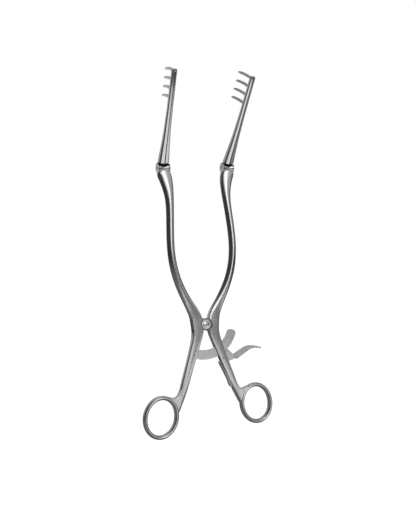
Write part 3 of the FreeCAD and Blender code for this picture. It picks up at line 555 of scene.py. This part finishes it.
def dress(piece: bpy.types.Object, material: bpy.types.Material, node: str, body: str) -> None:
    """Give a piece its finish and its body, and hide the solid that it stands for.

    Args:
        piece: the object.
        material: the finish.
        node: the solid that it stands for.
        body: the moving body that carries it.
    """
    piece.data.materials.clear()
    piece.data.materials.append(material)
    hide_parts(node)
    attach(piece, body)
    LOG.info("%s: %d faces on %s", piece.name, len(piece.data.polygons), body)


# Modelling by hand


def pull(name: str, loops: list[list[Vector]], ring: bool = False) -> bpy.types.Object:
    """Model a tube: a filled loop is extruded again and again, and its corners are dragged into place.

    Args:
        name: the piece's name.
        loops: the corners of each section, in metres and in one order.
        ring: whether the last section joins the first.

    Returns:
        The piece, with its faces pointing outwards.
    """
    deselect()
    bpy.ops.mesh.primitive_circle_add(vertices=len(loops[0]), radius=MM, fill_type="NOTHING" if ring else "NGON")
    piece = bpy.context.active_object
    piece.name = piece.data.name = name
    bpy.ops.object.mode_set(mode="EDIT")
    bpy.ops.mesh.select_mode(type="VERT")
    mesh = bmesh.from_edit_mesh(piece.data)
    mesh.verts.ensure_lookup_table()
    _drag(piece, [v.co.copy() for v in mesh.verts], loops[0])
    for before, after in zip(loops, loops[1:]):
        bpy.ops.mesh.extrude_region_move()
        _drag(piece, before, after)
    bpy.ops.mesh.select_all(action="SELECT")
    if ring:
        bpy.ops.mesh.select_all(action="DESELECT")
        mesh = bmesh.from_edit_mesh(piece.data)
        for edge in [e for e in mesh.edges if e.is_boundary]:
            edge.select_set(True)
        bmesh.update_edit_mesh(piece.data)
        bpy.ops.mesh.bridge_edge_loops()
        bpy.ops.mesh.select_all(action="SELECT")
    bpy.ops.mesh.normals_make_consistent(inside=False)
    bpy.ops.object.mode_set(mode="OBJECT")
    return piece


def _drag(piece: bpy.types.Object, before: list[Vector], after: list[Vector]) -> None:
    """Drag the selected loop's corners one by one.

    Args:
        piece: the object in edit mode.
        before: where the corners are.
        after: where each goes.
    """
    mesh = bmesh.from_edit_mesh(piece.data)
    loop = [v for v in mesh.verts if v.select]
    taken = []
    for spot in before:
        corner = min(loop, key=lambda v: (v.co - spot).length_squared)
        loop.remove(corner)
        taken.append(corner.index)
    for index, spot in zip(taken, after):
        mesh = bmesh.from_edit_mesh(piece.data)
        mesh.verts.ensure_lookup_table()
        for vertex in mesh.verts:
            vertex.select_set(False)
        mesh.select_flush(False)
        corner = mesh.verts[index]
        corner.select_set(True)
        bmesh.update_edit_mesh(piece.data)
        bpy.ops.transform.translate(value=spot - corner.co)
    mesh = bmesh.from_edit_mesh(piece.data)
    mesh.verts.ensure_lookup_table()
    for index in taken:
        mesh.verts[index].select_set(True)
    mesh.select_flush(True)
    bmesh.update_edit_mesh(piece.data)


def turn_on_lathe(name: str, profile: list[tuple[float, float]], place: Matrix, steps: int = 64) -> bpy.types.Object:
    """Turn a profile about an axis.

    Args:
        name: the piece's name.
        profile: (radius, height) of its corners in millimetres, along the axis.
        place: the axis frame in metres, whose Z is the axis.
        steps: faces around.

    Returns:
        The piece, closed and pointing outwards.
    """
    deselect()
    bpy.ops.mesh.primitive_circle_add(vertices=3, radius=MM, fill_type="NOTHING")
    piece = bpy.context.active_object
    piece.name = piece.data.name = name
    bpy.ops.object.mode_set(mode="EDIT")
    bpy.ops.mesh.select_mode(type="VERT")
    bpy.ops.mesh.merge(type="CENTER")
    at = Vector((0.0, 0.0, 0.0))
    first = Vector((profile[0][0], 0.0, profile[0][1])) * MM
    bpy.ops.transform.translate(value=first - at)
    at = first
    for radius, height in profile[1:]:
        spot = Vector((radius, 0.0, height)) * MM
        bpy.ops.mesh.extrude_region_move(TRANSFORM_OT_translate={"value": spot - at})
        at = spot
    bpy.ops.mesh.select_all(action="SELECT")
    bpy.ops.mesh.spin(steps=steps, angle=math.tau, center=(0.0, 0.0, 0.0), axis=(0.0, 0.0, 1.0))
    bpy.ops.mesh.select_all(action="SELECT")
    bpy.ops.mesh.remove_doubles(threshold=0.0000015)
    bpy.ops.mesh.normals_make_consistent(inside=False)
    bpy.ops.object.mode_set(mode="OBJECT")
    piece.matrix_world = place
    bake_place(piece)
    return piece


def combine(piece: bpy.types.Object, tools: list[bpy.types.Object], operation: str) -> None:
    """Join tools to a piece or cut them out of it, and remove them.

    Args:
        piece: the object.
        tools: closed objects.
        operation: UNION or DIFFERENCE.
    """
    for tool in tools:
        apply_modifier(piece, "BOOLEAN", operation=operation, object=tool, solver="EXACT")
        bpy.data.objects.remove(tool)


def join(name: str, pieces: list[bpy.types.Object]) -> bpy.types.Object:
    """Join objects into the first one, under a new name."""
    deselect()
    for piece in pieces:
        piece.select_set(True)
    bpy.context.view_layer.objects.active = pieces[0]
    bpy.ops.object.join()
    pieces[0].name = pieces[0].data.name = name
    return pieces[0]


def along_y(reach: float, depth: float, rise: float) -> Matrix:
    """Return a lathe frame in metres at a place in millimetres, whose axis points to the front."""
    return Matrix.Translation(Vector((reach, depth, rise)) * MM) @ Matrix.Rotation(math.radians(90), 4, "X")


def prism(name: str, outline: list[tuple[float, float]], low: float, high: float, place: Matrix) -> bpy.types.Object:
    """Model a straight bar with a drawn outline.

    Args:
        name: the piece's name.
        outline: its corners as (first, second) across, in millimetres.
        low: where it starts along its length, in millimetres.
        high: where it ends.
        place: the frame in metres: length along X, outline in Y and Z.

    Returns:
        The piece.
    """
    return pull(name, [[place @ (Vector((x, y, z)) * MM) for y, z in outline] for x in (low, high)])


# The forged halves


@dataclass(frozen=True)
class Section:
    """A section of a limb: a rectangle with cut corners, in millimetres.

    Attributes:
        reach: distance from the instrument's middle.
        rise: height above the pivot.
        bow: how far it is bowed to the front.
        width: its width across the limb.
        depth: its depth from front to back.
        edge: the cut of its corners.
        lean: the limb's lean outwards there, in degrees, or None for the run of its neighbours.
        crown: how far the front and back faces swell in their middle.
    """

    reach: float
    rise: float
    bow: float
    width: float
    depth: float
    edge: float
    lean: float | None = None
    crown: float = 0.85

    def corners(self, side: Side, lean: float) -> list[Vector]:
        """Return its ten corners in metres, in the object's frame."""
        wide, deep, cut = self.width / 2 + 0.12 * self.edge + 0.05, self.depth / 2, self.edge
        near = deep - self.crown
        flat = [
            (cut - wide, -near), (0.0, -deep), (wide - cut, -near), (wide, cut - near), (wide, near - cut),
            (wide - cut, near), (0.0, deep), (cut - wide, near), (-wide, near - cut), (-wide, cut - near),
        ]
        turn = math.radians(lean)
        return [Vector((
            side.value * (self.reach + x * math.cos(turn)),
            MIDDLE_Y - self.bow + y,
            self.rise - x * math.sin(turn),
        )) * MM for x, y in flat]


@dataclass
class ForgedHalf:
    """One half: arm, pivot plate, shank and finger ring in one forging.

    Attributes:
        side: which half.
        limb: the sections from the foot in the ring's wall up to the knuckle.
        ring_reach: the ring's centre, out from the middle.
        ring_rise: the ring's centre above the pivot.
        ring_radii: half width and half height of the ring's centre line.
        ring_tilt: the ring's tilt towards the middle, in degrees.
        ring_wall: wall, depth and corner cut of the ring's section.
        pin: reach and height of the blade's hinge pin.
        lean: the knuckle's outward lean in degrees.
        saddle: radius, height above the pin and depth of the scoop in the knuckle's upper front.
        skin: the size of the skin's faces.
        passes: how often the skin is smoothed.
    """

    side: Side
    limb: tuple[Section, ...] = (
        Section(32.1, -76.7, 0.0, 2.8, 5.2, 0.9, -12.0),
        Section(28.6, -67.0, 0.0, 4.6, 5.8, 1.2),
        Section(25.05, -57.0, 0.0, 6.8, 6.2, 0.8, None, 0.5),
        Section(18.86, -40.0, 0.0, 7.0, 6.3, 0.6, None, 0.5),
        Section(12.3, -22.0, 0.0, 7.75, 6.4, 0.5, None, 0.4),
        Section(8.6, -11.5, 0.0, 8.9, 6.75, 0.45, None, 0.25),
        Section(7.4, -5.0, 0.0, 10.0, 6.8, 0.4, -6.0, 0.08),
        Section(7.5, 1.0, 0.0, 11.2, 6.8, 0.4, 3.0, 0.08),
        Section(9.1, 9.5, 0.0, 10.0, 6.8, 0.5, None, 0.2),
        Section(14.9, 19.0, 0.8, 8.0, 6.7, 1.2, None, 0.6),
        Section(22.9, 34.0, 2.6, 7.5, 6.7, 2.1),
        Section(28.3, 50.0, 3.7, 7.0, 6.7, 2.15),
        Section(30.5, 69.0, 4.2, 6.8, 6.7, 2.15),
        Section(29.2, 90.0, 3.8, 6.9, 6.7, 2.1),
        Section(27.7, 107.0, 2.6, 7.0, 6.7, 2.1),
        Section(27.7, 119.0, 1.2, 9.0, 7.3, 2.0),
        Section(29.2, 129.0, 0.2, 11.8, 8.1, 1.9, 7.0),
        Section(30.75, 133.6, 0.0, 12.3, 8.3, 1.6, 2.5, 0.5),
        Section(30.98, 135.8, 0.0, 11.6, 8.3, 1.5, 2.5, 0.5),
        Section(31.05, 137.0, 0.0, 8.8, 8.1, 1.5, 2.5, 0.4),
        Section(31.08, 137.6, 0.0, 4.4, 7.8, 1.2, 2.5, 0.3),
    )
    ring_reach: float = 46.8
    ring_rise: float = -76.7
    ring_radii: tuple[float, float] = (14.7, 17.2)
    ring_tilt: float = 12.0
    ring_wall: tuple[float, float, float] = (3.9, 6.5, 1.35)
    pin: tuple[float, float] = (31.2, 139.5)
    lean: float = 2.5
    skin: float = 0.33
    passes: int = 4
    saddle: tuple[float, float, float] = (7.0, 7.7, -0.3)

    def _limb(self) -> bpy.types.Object:
        """Model the limb through its sections and round it."""
        places = [(s.reach, s.rise) for s in self.limb]
        loops = []
        for number, section in enumerate(self.limb):
            low, high = places[max(number - 1, 0)], places[min(number + 1, len(places) - 1)]
            lean = section.lean
            if lean is None:
                lean = math.degrees(math.atan2(high[0] - low[0], high[1] - low[1]))
            loops.append(section.corners(self.side, lean))
        limb = pull("limb", loops)
        apply_modifier(limb, "SUBSURF", levels=3, render_levels=3)
        return limb

    def _ring(self) -> bpy.types.Object:
        """Model the finger ring as a rounded band along its oval."""
        wall, depth, cut = self.ring_wall
        wide, tall = self.ring_radii
        tilt = math.radians(self.ring_tilt)
        loops = []
        for step in range(24):
            turn = math.tau * step / 24
            x, z = wide * math.cos(turn), tall * math.sin(turn)
            out = Vector((math.cos(turn) / wide, math.sin(turn) / tall)).normalized()
            flat = [
                (cut - wall / 2, -depth / 2), (wall / 2 - cut, -depth / 2), (wall / 2, cut - depth / 2),
                (wall / 2, depth / 2 - cut), (wall / 2 - cut, depth / 2), (cut - wall / 2, depth / 2),
                (-wall / 2, depth / 2 - cut), (-wall / 2, cut - depth / 2),
            ]
            loop = []
            for off, y in flat:
                px, pz = x + off * out.x, z + off * out.y
                reach = self.ring_reach + px * math.cos(tilt) - pz * math.sin(tilt)
                rise = self.ring_rise + px * math.sin(tilt) + pz * math.cos(tilt)
                loop.append(Vector((self.side.value * reach, MIDDLE_Y + y, rise)) * MM)
            loops.append(loop)
        ring = pull("ring", loops, ring=True)
        apply_modifier(ring, "SUBSURF", levels=2, render_levels=2)
        return ring

    def _web(self) -> bpy.types.Object:
        """Model the web that fills the corner between the shank and the ring's crown."""
        outline = [
            (24.6, -56.2), (26.6, -53.6), (28.6, -57.0), (30.2, -59.8), (32.3, -61.2), (35.0, -61.1), (38.5, -59.9),
            (37.4, -61.9), (34.4, -66.0), (32.6, -71.0), (31.9, -76.7), (29.0, -68.0),
        ]
        loops = []
        for y in (-2.5, -1.9, 1.9, 2.5):
            inset = 0.35 if abs(y) > 2.0 else 0.0
            middle = (31.5, -63.0)
            loops.append([Vector((
                self.side.value * (x + (middle[0] - x) * inset * 0.12), MIDDLE_Y + y, z + (middle[1] - z) * inset * 0.12,
            )) * MM for x, z in outline])
        return pull("web", loops)

    def _knuckle(self) -> bpy.types.Object:
        """Turn the waisted knuckle that the blade folds about."""
        half, end, waist = 5.4, 4.5, 3.5
        profile = [(0.0, -half), (end - 0.25, -half), (end, 0.25 - half)]
        for step in range(1, 12):
            x = -half + 0.25 + (2 * half - 0.5) * step / 12
            profile.append((waist + (end - waist) * (x / (half - 0.25)) ** 2, x))
        profile += [(end, half - 0.25), (end - 0.25, half), (0.0, half)]
        return turn_on_lathe("knuckle", profile, self.knuckle_frame() @ Matrix.Rotation(math.radians(90), 4, "Y"))

    def knuckle_frame(self) -> Matrix:
        """Return the frame of the hinge pin in metres, with X along the pin."""
        spot = Vector((self.side.value * self.pin[0], MIDDLE_Y, self.pin[1])) * MM
        return Matrix.Translation(spot) @ Matrix.Rotation(math.radians(self.side.value * self.lean), 4, "Y")

    def _knuckle_tools(self) -> list[bpy.types.Object]:
        """Model the cutters of the tongue slot and of the pin's sunk ends."""
        frame = self.knuckle_frame()
        clear, top, limit = 2.4, 9.0, math.radians(45)
        foot = (-clear * math.cos(limit), -clear * math.sin(limit))
        outline = [
            (clear * math.cos(limit), -clear * math.sin(limit)), (2.0, 0.0), (2.0, top),
            (foot[0] - top * math.sin(limit), foot[1] + top * math.cos(limit)), foot,
        ]
        slot = prism("tongue_slot", outline, -2.2, 2.2, frame)
        across = frame @ Matrix.Rotation(math.radians(90), 4, "Y")
        room = turn_on_lathe("eye_room", [(0.0, -2.2), (clear, -2.2), (clear, 2.2), (0.0, 2.2)], across, 48)
        radius, height, back = self.saddle
        scoop = turn_on_lathe("saddle", [(0.0, -back), (radius, -back), (radius, 9.0), (0.0, 9.0)],
                              frame @ along_y(0.0, 0.0, height), 96)
        sinks = []
        for way in (-1, 1):
            near, far = sorted((way * 4.9, way * 6.5))
            sinks.append(turn_on_lathe("pin_sink", [(0.0, near), (1.2, near), (1.2, far), (0.0, far)], across, 32))
        return [scoop, slot, room, *sinks]

    def _grain(self, spot: Vector) -> tuple[float, float, float]:
        """Return (across, depth, along) of the grinding lines at a point."""
        x, height = self.side.value * spot.x / MM, spot.z / MM
        if height < -60.0 and x > 27.0:
            turn = math.atan2(height - self.ring_rise, x - self.ring_reach)
            return math.hypot(x - self.ring_reach, height - self.ring_rise) * MM, spot.y, turn * 15.0 * MM
        reach = self.limb[-1].reach
        for low, high in zip(self.limb, self.limb[1:]):
            if height <= high.rise:
                reach = low.reach + (high.reach - low.reach) * (height - low.rise) / (high.rise - low.rise)
                break
        return (x - reach) * MM, spot.y, spot.z

    def build(self, material: bpy.types.Material) -> bpy.types.Object:
        """Forge the half in one skin, then machine its joints.

        Args:
            material: the forging's finish.

        Returns:
            The finished piece.
        """
        piece = join(f"{self.side.word}_forging", [self._limb(), self._ring(), self._web()])
        apply_modifier(piece, "REMESH", mode="VOXEL", voxel_size=self.skin * MM)
        apply_modifier(piece, "SMOOTH", factor=0.5, iterations=self.passes)
        front = self.side is Side.LEFT
        if not front:
            combine(piece, self._shank_tools(), "DIFFERENCE")
        seat = MIDDLE_Y + (-0.025 if front else 0.025)
        deep = abs((2 * MIDDLE_Y if front else 0.0) - seat)
        out = -1.0 if front else 1.0
        boss = turn_on_lathe("boss", [(0.0, 0.0), (5.6, 0.0), (5.6, deep - 0.15), (5.45, deep), (0.0, deep)],
                             self._facing(seat, out))
        combine(piece, [boss], "UNION")
        recess = turn_on_lathe("recess", [(0.0, 0.0), (5.85, 0.0), (5.85, 9.0), (0.0, 9.0)], self._facing(seat, -out))
        radius = 4.31 if front else 1.71
        bore = turn_on_lathe("bore", [(0.0, -9.0), (radius, -9.0), (radius, 9.0), (0.0, 9.0)], along_y(0, MIDDLE_Y, 0))
        combine(piece, [recess, bore], "DIFFERENCE")
        combine(piece, [self._knuckle()], "UNION")
        combine(piece, self._knuckle_tools(), "DIFFERENCE")
        pick(piece)
        bpy.ops.object.shade_smooth_by_angle(angle=math.radians(35.0))
        mark_grain(piece, self._grain)
        # Paint shade into the knuckle's scoop and slots.
        mark_crevices(piece, self._hidden)
        dress(piece, material, f"{self.side.word}_half", f"{self.side.word}_arm")
        return piece

    def _hidden(self, spot: Vector) -> float:
        """Return the painted shade at a point in metres: 1 in the knuckle's scoop, its tongue slot and the right
        shank's bar slot, where shade falls, or else 0.
        """
        near = self.knuckle_frame().inverted() @ spot / MM
        radius, height, back = self.saddle
        scooped = near.y < back + 0.05 and math.hypot(near.x, near.z - height) < radius + 0.02 and near.z < 6.0
        slotted = abs(near.x) < 2.22 and near.y < 2.1 and math.hypot(near.y, near.z) < 3.4
        down, off = (self._shank_frame().inverted() @ spot).x / MM, abs(spot.y / MM - MIDDLE_Y)
        barred = self.side is Side.RIGHT and off < 1.17 and 19.2 < down < 39.7 and spot.z < 0.0
        return float(scooped or slotted or barred)

    @staticmethod
    def _shank_frame() -> Matrix:
        """Return the right shank's frame in metres, with X down the shank and Z towards its inner side."""
        splay = math.radians(20.0)
        return Matrix.Translation(Vector((4.3, MIDDLE_Y, 0.0)) * MM) @ Matrix(
            ((math.sin(splay), 0.0, -math.cos(splay), 0.0), (0.0, 1.0, 0.0, 0.0),
             (-math.cos(splay), 0.0, -math.sin(splay), 0.0), (0.0, 0.0, 0.0, 1.0)))

    @staticmethod
    def _facing(depth: float, way: float) -> Matrix:
        """Return a lathe frame on the pivot axis whose Z points to the back (1) or the front (-1)."""
        return Matrix.Translation((0.0, depth * MM, 0.0)) @ Matrix.Rotation(math.radians(-90 * way), 4, "X")

    def _shank_tools(self) -> list[bpy.types.Object]:
        """Model the cutters of the bar's slot and of the spring's seat in the right shank."""
        frame = self._shank_frame()
        slot = [(-1.15, -8.4), (1.15, -8.4), (1.15, 8.4), (-1.15, 8.4)]
        flat = [(-7.0, 3.1), (7.0, 3.1), (7.0, 8.4), (-7.0, 8.4)]
        return [prism("bar_slot", slot, 19.3, 39.6, frame), prism("spring_seat", flat, 48.4, 61.4, frame)]


# The rake blades


@dataclass
class RakeBlade:
    """A hinged blade: a bar with a ridged face, four curved prongs and a tongue on the hinge pin.

    Attributes:
        side: which blade.
        fold: how far it is folded to the front, in degrees.
        bar: height, width and depth of the bar's sections.
        ridge: how far the shoulders stand behind the ridge, as a share of the depth.
        flat: where the shoulders lie, as a share of the half width.
        line: the width of the parting line along the ridge, as a share of the bar's.
        prongs: how many prongs it has.
        pitch: their spacing.
        top: the height of the first.
        prong: share of the length and radius of the prong's sections.
        reach: the prongs' length to the back.
        droop: how far their tips hang down.
        sway: how far their tips lean inwards.
        heel: the radius about the pin that its lower front keeps clear of.
    """

    side: Side
    fold: float
    bar: tuple[tuple[float, float, float], ...] = (
        (0.9, 10.0, 6.2), (8.0, 9.1, 5.8), (16.0, 7.9, 5.2), (24.0, 6.8, 4.8), (32.0, 5.85, 4.4), (43.0, 5.2, 4.1),
        (54.0, 4.7, 3.8), (70.0, 4.55, 3.7), (87.0, 4.4, 3.6))
    ridge: float = 0.10
    flat: float = 0.70
    line: float = 0.11
    prongs: int = 4
    pitch: float = 7.65
    top: float = 85.1
    prong: tuple[tuple[float, float], ...] = (
        (0.0, 1.55), (0.1, 1.5), (0.3, 1.45), (0.5, 1.4), (0.7, 1.32), (0.85, 1.22), (0.95, 1.05), (1.0, 0.6))
    reach: float = 22.0
    droop: float = 4.9
    sway: float = 2.0
    heel: float = 6.0

    def frame_matrix(self) -> Matrix:
        """Return the matrix from the blade's own frame, in metres, to the object's."""
        return ForgedHalf(self.side).knuckle_frame() @ Matrix.Rotation(math.radians(self.fold), 4, "X")

    def _bar(self, home: Matrix) -> bpy.types.Object:
        """Model the ridged bar, with its fine parting line along the ridge."""
        loops = []
        for height, width, depth in self.bar:
            side, face = width / 2, depth / 2
            flat, shoulder = side * self.flat, depth * self.ridge - face
            cut, line = 0.55, self.line * width / 2
            crest = -face + line * (shoulder + face) / flat
            low = shoulder + (side - flat) * 1.1
            outline = [
                (0.0, crest + 0.40), (line, crest), (flat, shoulder), (side, low), (side, face - cut),
                (side - cut, face), (cut - side, face), (-side, face - cut), (-side, low), (-flat, shoulder),
                (-line, crest),
            ]
            loops.append([home @ (Vector((x, y, height)) * MM) for x, y in outline])
        bar = pull("bar", loops)
        corner = [(-2.4, 84.4), (-1.8, 84.4), (-1.75, 85.1), (-1.45, 85.9), (-0.9, 86.55), (-0.1, 86.92), (0.8, 87.0),
                  (0.8, 88.0), (-2.4, 88.0)]
        combine(bar, [prism("tip_corner", corner, -4.0, 4.0, home)], "DIFFERENCE")
        return bar

    def _hidden(self, spot: Vector) -> float:
        """Return the painted shade at a point in metres: full in the gap about the pin, and 0.75 in the groove of the
        parting line, where shade falls.
        """
        near = self.frame_matrix().inverted() @ spot / MM
        away = math.hypot(near.y, near.z)
        if near.y < 0.3 and away < self.heel + 0.03:
            return 1.0
        return 0.75 if abs(near.x) < 0.05 * self.width_at(near.z) and near.y < -0.5 else 0.0

    def width_at(self, height: float) -> float:
        """Return the bar's width at a height above the pin, in millimetres."""
        for low, high in zip(self.bar, self.bar[1:]):
            if height < high[0]:
                return low[1] + (high[1] - low[1]) * (height - low[0]) / (high[0] - low[0])
        return self.bar[-1][1]

    def _prongs(self, home: Matrix) -> list[bpy.types.Object]:
        """Model one curved prong, and copy it down the bar."""
        length = self.reach + 1.8
        loops = []
        for share, radius in self.prong:
            spot = Vector((-self.side.value * self.sway * share, length * share, -self.droop * share * share))
            loops.append([spot + Vector((
                radius * math.cos(math.tau * (k + 0.5) / 8), 0.0, radius * math.sin(math.tau * (k + 0.5) / 8),
            )) for k in range(8)])
        rake = []
        first = pull("prong", [[corner * MM for corner in loop] for loop in loops])
        apply_modifier(first, "SUBSURF", levels=2, render_levels=2)
        for number in range(self.prongs):
            prong = first if number == self.prongs - 1 else first.copy()
            if prong is not first:
                prong.data = first.data.copy()
                bpy.context.scene.collection.objects.link(prong)
            prong.matrix_world = home @ Matrix.Translation(
                (0.0, 0.0, (self.top - number * self.pitch) * MM))
            bake_place(prong)
            rake.append(prong)
        return rake

    def build(self, material: bpy.types.Material) -> bpy.types.Object:
        """Model the blade in its own frame and set it on the knuckle.

        Args:
            material: the forging's finish.

        Returns:
            The finished piece.
        """
        home = self.frame_matrix()
        across = home @ Matrix.Rotation(math.radians(90), 4, "Y")
        piece = self._bar(home)
        piece.name = piece.data.name = f"{self.side.word}_rake_blade"
        seat = [(0.0, -7.0), (4.8, -7.0), (4.8, -5.4)]
        for step in range(1, 12):
            x = -5.4 + 10.8 * step / 12
            seat.append((3.8 + 1.0 * (x / 5.4) ** 2, x))
        seat += [(4.8, 5.4), (4.8, 7.0), (0.0, 7.0)]
        heel = [(self.heel * -math.cos(math.radians(a)), self.heel * math.sin(math.radians(a))) for a in range(0, 86, 5)]
        heel += [(-0.2, 0.0)]
        combine(piece, [turn_on_lathe("seat", seat, across), prism("heel", heel, -7.0, 7.0, home)], "DIFFERENCE")
        neck = prism("neck", [(-1.8, 0.0), (1.8, 0.0), (1.8, 7.0), (-1.8, 7.0)], -2.0, 2.0, home)
        eye = turn_on_lathe("eye", [(0.0, -1.99), (2.2, -1.99), (2.2, 1.99), (0.0, 1.99)], across, 48)
        combine(piece, [neck, eye, *self._prongs(home)], "UNION")
        bore = turn_on_lathe("eye_bore", [(0.0, -4.0), (1.15, -4.0), (1.15, 4.0), (0.0, 4.0)], across, 32)
        combine(piece, [bore], "DIFFERENCE")
        apply_modifier(piece, "BEVEL", width=0.12 * MM, segments=2, limit_method="ANGLE",
                       angle_limit=math.radians(38.0), use_clamp_overlap=True)
        pick(piece)
        bpy.ops.object.shade_smooth_by_angle(angle=math.radians(28.0))
        back = home.inverted()
        mark_grain(piece, lambda spot: tuple(back @ spot))
        # Paint shade into the gap about the pin and the ridge's groove.
        mark_crevices(piece, self._hidden)
        dress(piece, material, f"{self.side.word}_blade", f"{self.side.word}_rake")
        return piece


# Screws, bush and pins


@dataclass
class TurnedPiece:
    """A screw, bush or pin from the lathe.

    Attributes:
        node: the solid that it stands for.
        body: the moving body that carries it.
        profile: (radius, height) of its corners in millimetres.
        place: its lathe frame in metres.
        slot: width, depth, turn in degrees and head height of its driver slot, if it has one.
        ground: whether it was ground flush with the plate about it.
    """

    node: str
    body: str
    profile: list[tuple[float, float]]
    place: Matrix
    slot: tuple[float, float, float, float] | None = None
    ground: bool = False

    def build(self, material: bpy.types.Material) -> bpy.types.Object:
        """Turn the piece and cut its driver slot.

        Args:
            material: the finish.

        Returns:
            The finished piece.
        """
        piece = turn_on_lathe(f"{self.node}_turned", self.profile, self.place)
        if self.slot:
            width, depth, turn, head = self.slot
            wide = width / 2
            frame = self.place @ Matrix.Rotation(math.radians(turn), 4, "Z")
            outline = [(-wide, head - depth), (wide, head - depth), (wide, head + 1.0), (-wide, head + 1.0)]
            combine(piece, [prism("driver_slot", outline, -5.0, 5.0, frame)], "DIFFERENCE")
        pick(piece)
        bpy.ops.object.shade_smooth_by_angle(angle=math.radians(28.0))
        dress(piece, material, self.node, self.body)
        return piece


def pin_profile(radius: float, half: float, chamfer: float) -> list[tuple[float, float]]:
    """Return a plain pin's profile with broken ends, in millimetres."""
    return [(0.0, -half), (radius - chamfer, -half), (radius, chamfer - half), (radius, half - chamfer),
            (radius - chamfer, half), (0.0, half)]


def turned_pieces() -> list[TurnedPiece]:
    """Return every screw, bush and pin of the instrument."""
    splay = math.radians(20.0)
    front = Matrix.Rotation(math.radians(90), 4, "X")
    seat = Matrix.Translation((0.0, (MIDDLE_Y - 0.025) * MM, 0.0)) @ front
    screw = [(0.0, 0.0), (1.55, 0.0), (1.7, 0.15), (1.7, 3.41), (2.2, 3.41), (2.2, 5.52), (2.68, 5.52),
             (2.68, 6.5), (2.6, 6.68), (2.38, 6.76), (0.0, 6.76)]
    bush = [(2.25, 0.0), (4.28, 0.0), (4.28, 3.12), (4.18, 3.3), (4.0, 3.36), (3.12, 3.36), (2.95, 3.3),
            (2.86, 3.1), (2.84, 2.03), (2.25, 2.03), (2.25, 0.0)]
    pieces = [
        TurnedPiece("pivot_screw", "right_arm", screw, front, (0.85, 0.7, 40.0, 6.76)),
        TurnedPiece("pivot_bush", "left_arm", bush, seat, ground=True),
    ]
    for node, radius in (("upper_bar_pin", 25.0), ("lower_bar_pin", 29.6)):
        turn = math.radians(27.0)
        spot = along_y(-radius * math.sin(turn), MIDDLE_Y, -radius * math.cos(turn))
        pieces.append(TurnedPiece(node, "left_arm", pin_profile(0.8, 3.13, 0.12), spot))
    reach = 4.3 + 33.6 * math.sin(splay) - 0.3 * math.cos(splay)
    rise = -33.6 * math.cos(splay) - 0.3 * math.sin(splay)
    pieces.append(TurnedPiece("lever_pin", "right_arm", pin_profile(1.1, 3.13, 0.15),
                              along_y(reach, MIDDLE_Y, rise)))
    along, start = 57.5, -0.49
    spot = Vector((4.3 + along * math.sin(splay) - start * math.cos(splay), MIDDLE_Y,
                   -along * math.cos(splay) - start * math.sin(splay))) * MM
    inward = Matrix.Translation(spot) @ Matrix.Rotation(math.radians(-110.0), 4, "Y")
    head = [(0.0, 0.0), (0.8, 0.0), (0.8, 4.31), (1.6, 4.31), (1.6, 4.75), (1.45, 4.95), (0.9, 5.02), (0.0, 5.04)]
    pieces.append(TurnedPiece("spring_screw", "right_arm", head, inward, (0.45, 0.35, 30.0, 5.02)))
    for side in Side:
        frame = ForgedHalf(side).knuckle_frame() @ Matrix.Rotation(math.radians(90), 4, "Y")
        pieces.append(TurnedPiece(f"{side.word}_blade_pin", f"{side.word}_arm", pin_profile(1.1, 5.0, 0.15), frame))
    return pieces


# Machined pieces


@dataclass
class MachinedPiece:
    """A machined piece: its solid with clean faces and broken edges.

    Attributes:
        node: the solid's name.
        body: the moving body that carries it.
        slot: the finish slot in the record; not used.
        soften: the width of its broken edges, in millimetres.
        run: how it was ground.
        turn: the turn of straight grinding lines about the Y axis, in degrees.
    """

    node: str
    body: str
    slot: str
    soften: float
    run: Run = Run.STRAIGHT
    turn: float = 0.0

    def _grain(self, spot: Vector) -> tuple[float, float, float]:
        """Return (across, depth, along) of the grinding lines at a point."""
        if self.run is Run.ARC:
            return math.hypot(spot.x, spot.z), spot.y, math.atan2(spot.x, -spot.z) * 27.0 * MM
        return tuple(Matrix.Rotation(math.radians(self.turn), 4, "Y") @ spot)

    def build(self, frame: dict, material: bpy.types.Material) -> bpy.types.Object:
        """Copy the solid, clean its faces and break its edges.

        Args:
            frame: the loaded frame.
            material: the finish.

        Returns:
            The finished piece.
        """
        piece = copy_solid(frame["nodes"][self.node], f"{self.node}_finished")
        bpy.ops.object.mode_set(mode="EDIT")
        bpy.ops.mesh.select_all(action="SELECT")
        bpy.ops.mesh.dissolve_limited(angle_limit=math.radians(0.5))
        bpy.ops.object.mode_set(mode="OBJECT")
        if self.soften > 0.0:
            apply_modifier(piece, "BEVEL", width=self.soften * MM, segments=2, limit_method="ANGLE",
                           angle_limit=math.radians(35.0), use_clamp_overlap=True)
        pick(piece)
        bpy.ops.object.shade_smooth_by_angle(angle=math.radians(32.0))
        apply_modifier(piece, "WEIGHTED_NORMAL", keep_sharp=True, weight=100)
        mark_grain(piece, self._grain)
        dress(piece, material, self.node, self.body)
        return piece


def main() -> None:
    """Build the studio and every piece."""
    logging.basicConfig(level=logging.INFO, format="%(name)s: %(message)s")
    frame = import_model()
    Studio().build()
    forging, plate, turned, spring = FORGING.make(), PLATE.make(), TURNED.make(), SPRING.make()
    for side in Side:
        ForgedHalf(side).build(forging)
    RakeBlade(Side.LEFT, 32.0).build(forging)
    RakeBlade(Side.RIGHT, 37.0, droop=3.5).build(forging)
    for piece in turned_pieces():
        piece.build(plate if piece.ground else turned)
    MachinedPiece("ratchet_bar", "left_arm", "forged_steel", 0.12, Run.ARC).build(frame, plate)
    MachinedPiece("release_lever", "lever", "forged_steel", 0.25, turn=90.0).build(frame, plate)
    MachinedPiece("leaf_spring", "right_arm", "spring_steel", 0.06, turn=20.0).build(frame, spring)


if __name__ == "__main__":
    main()
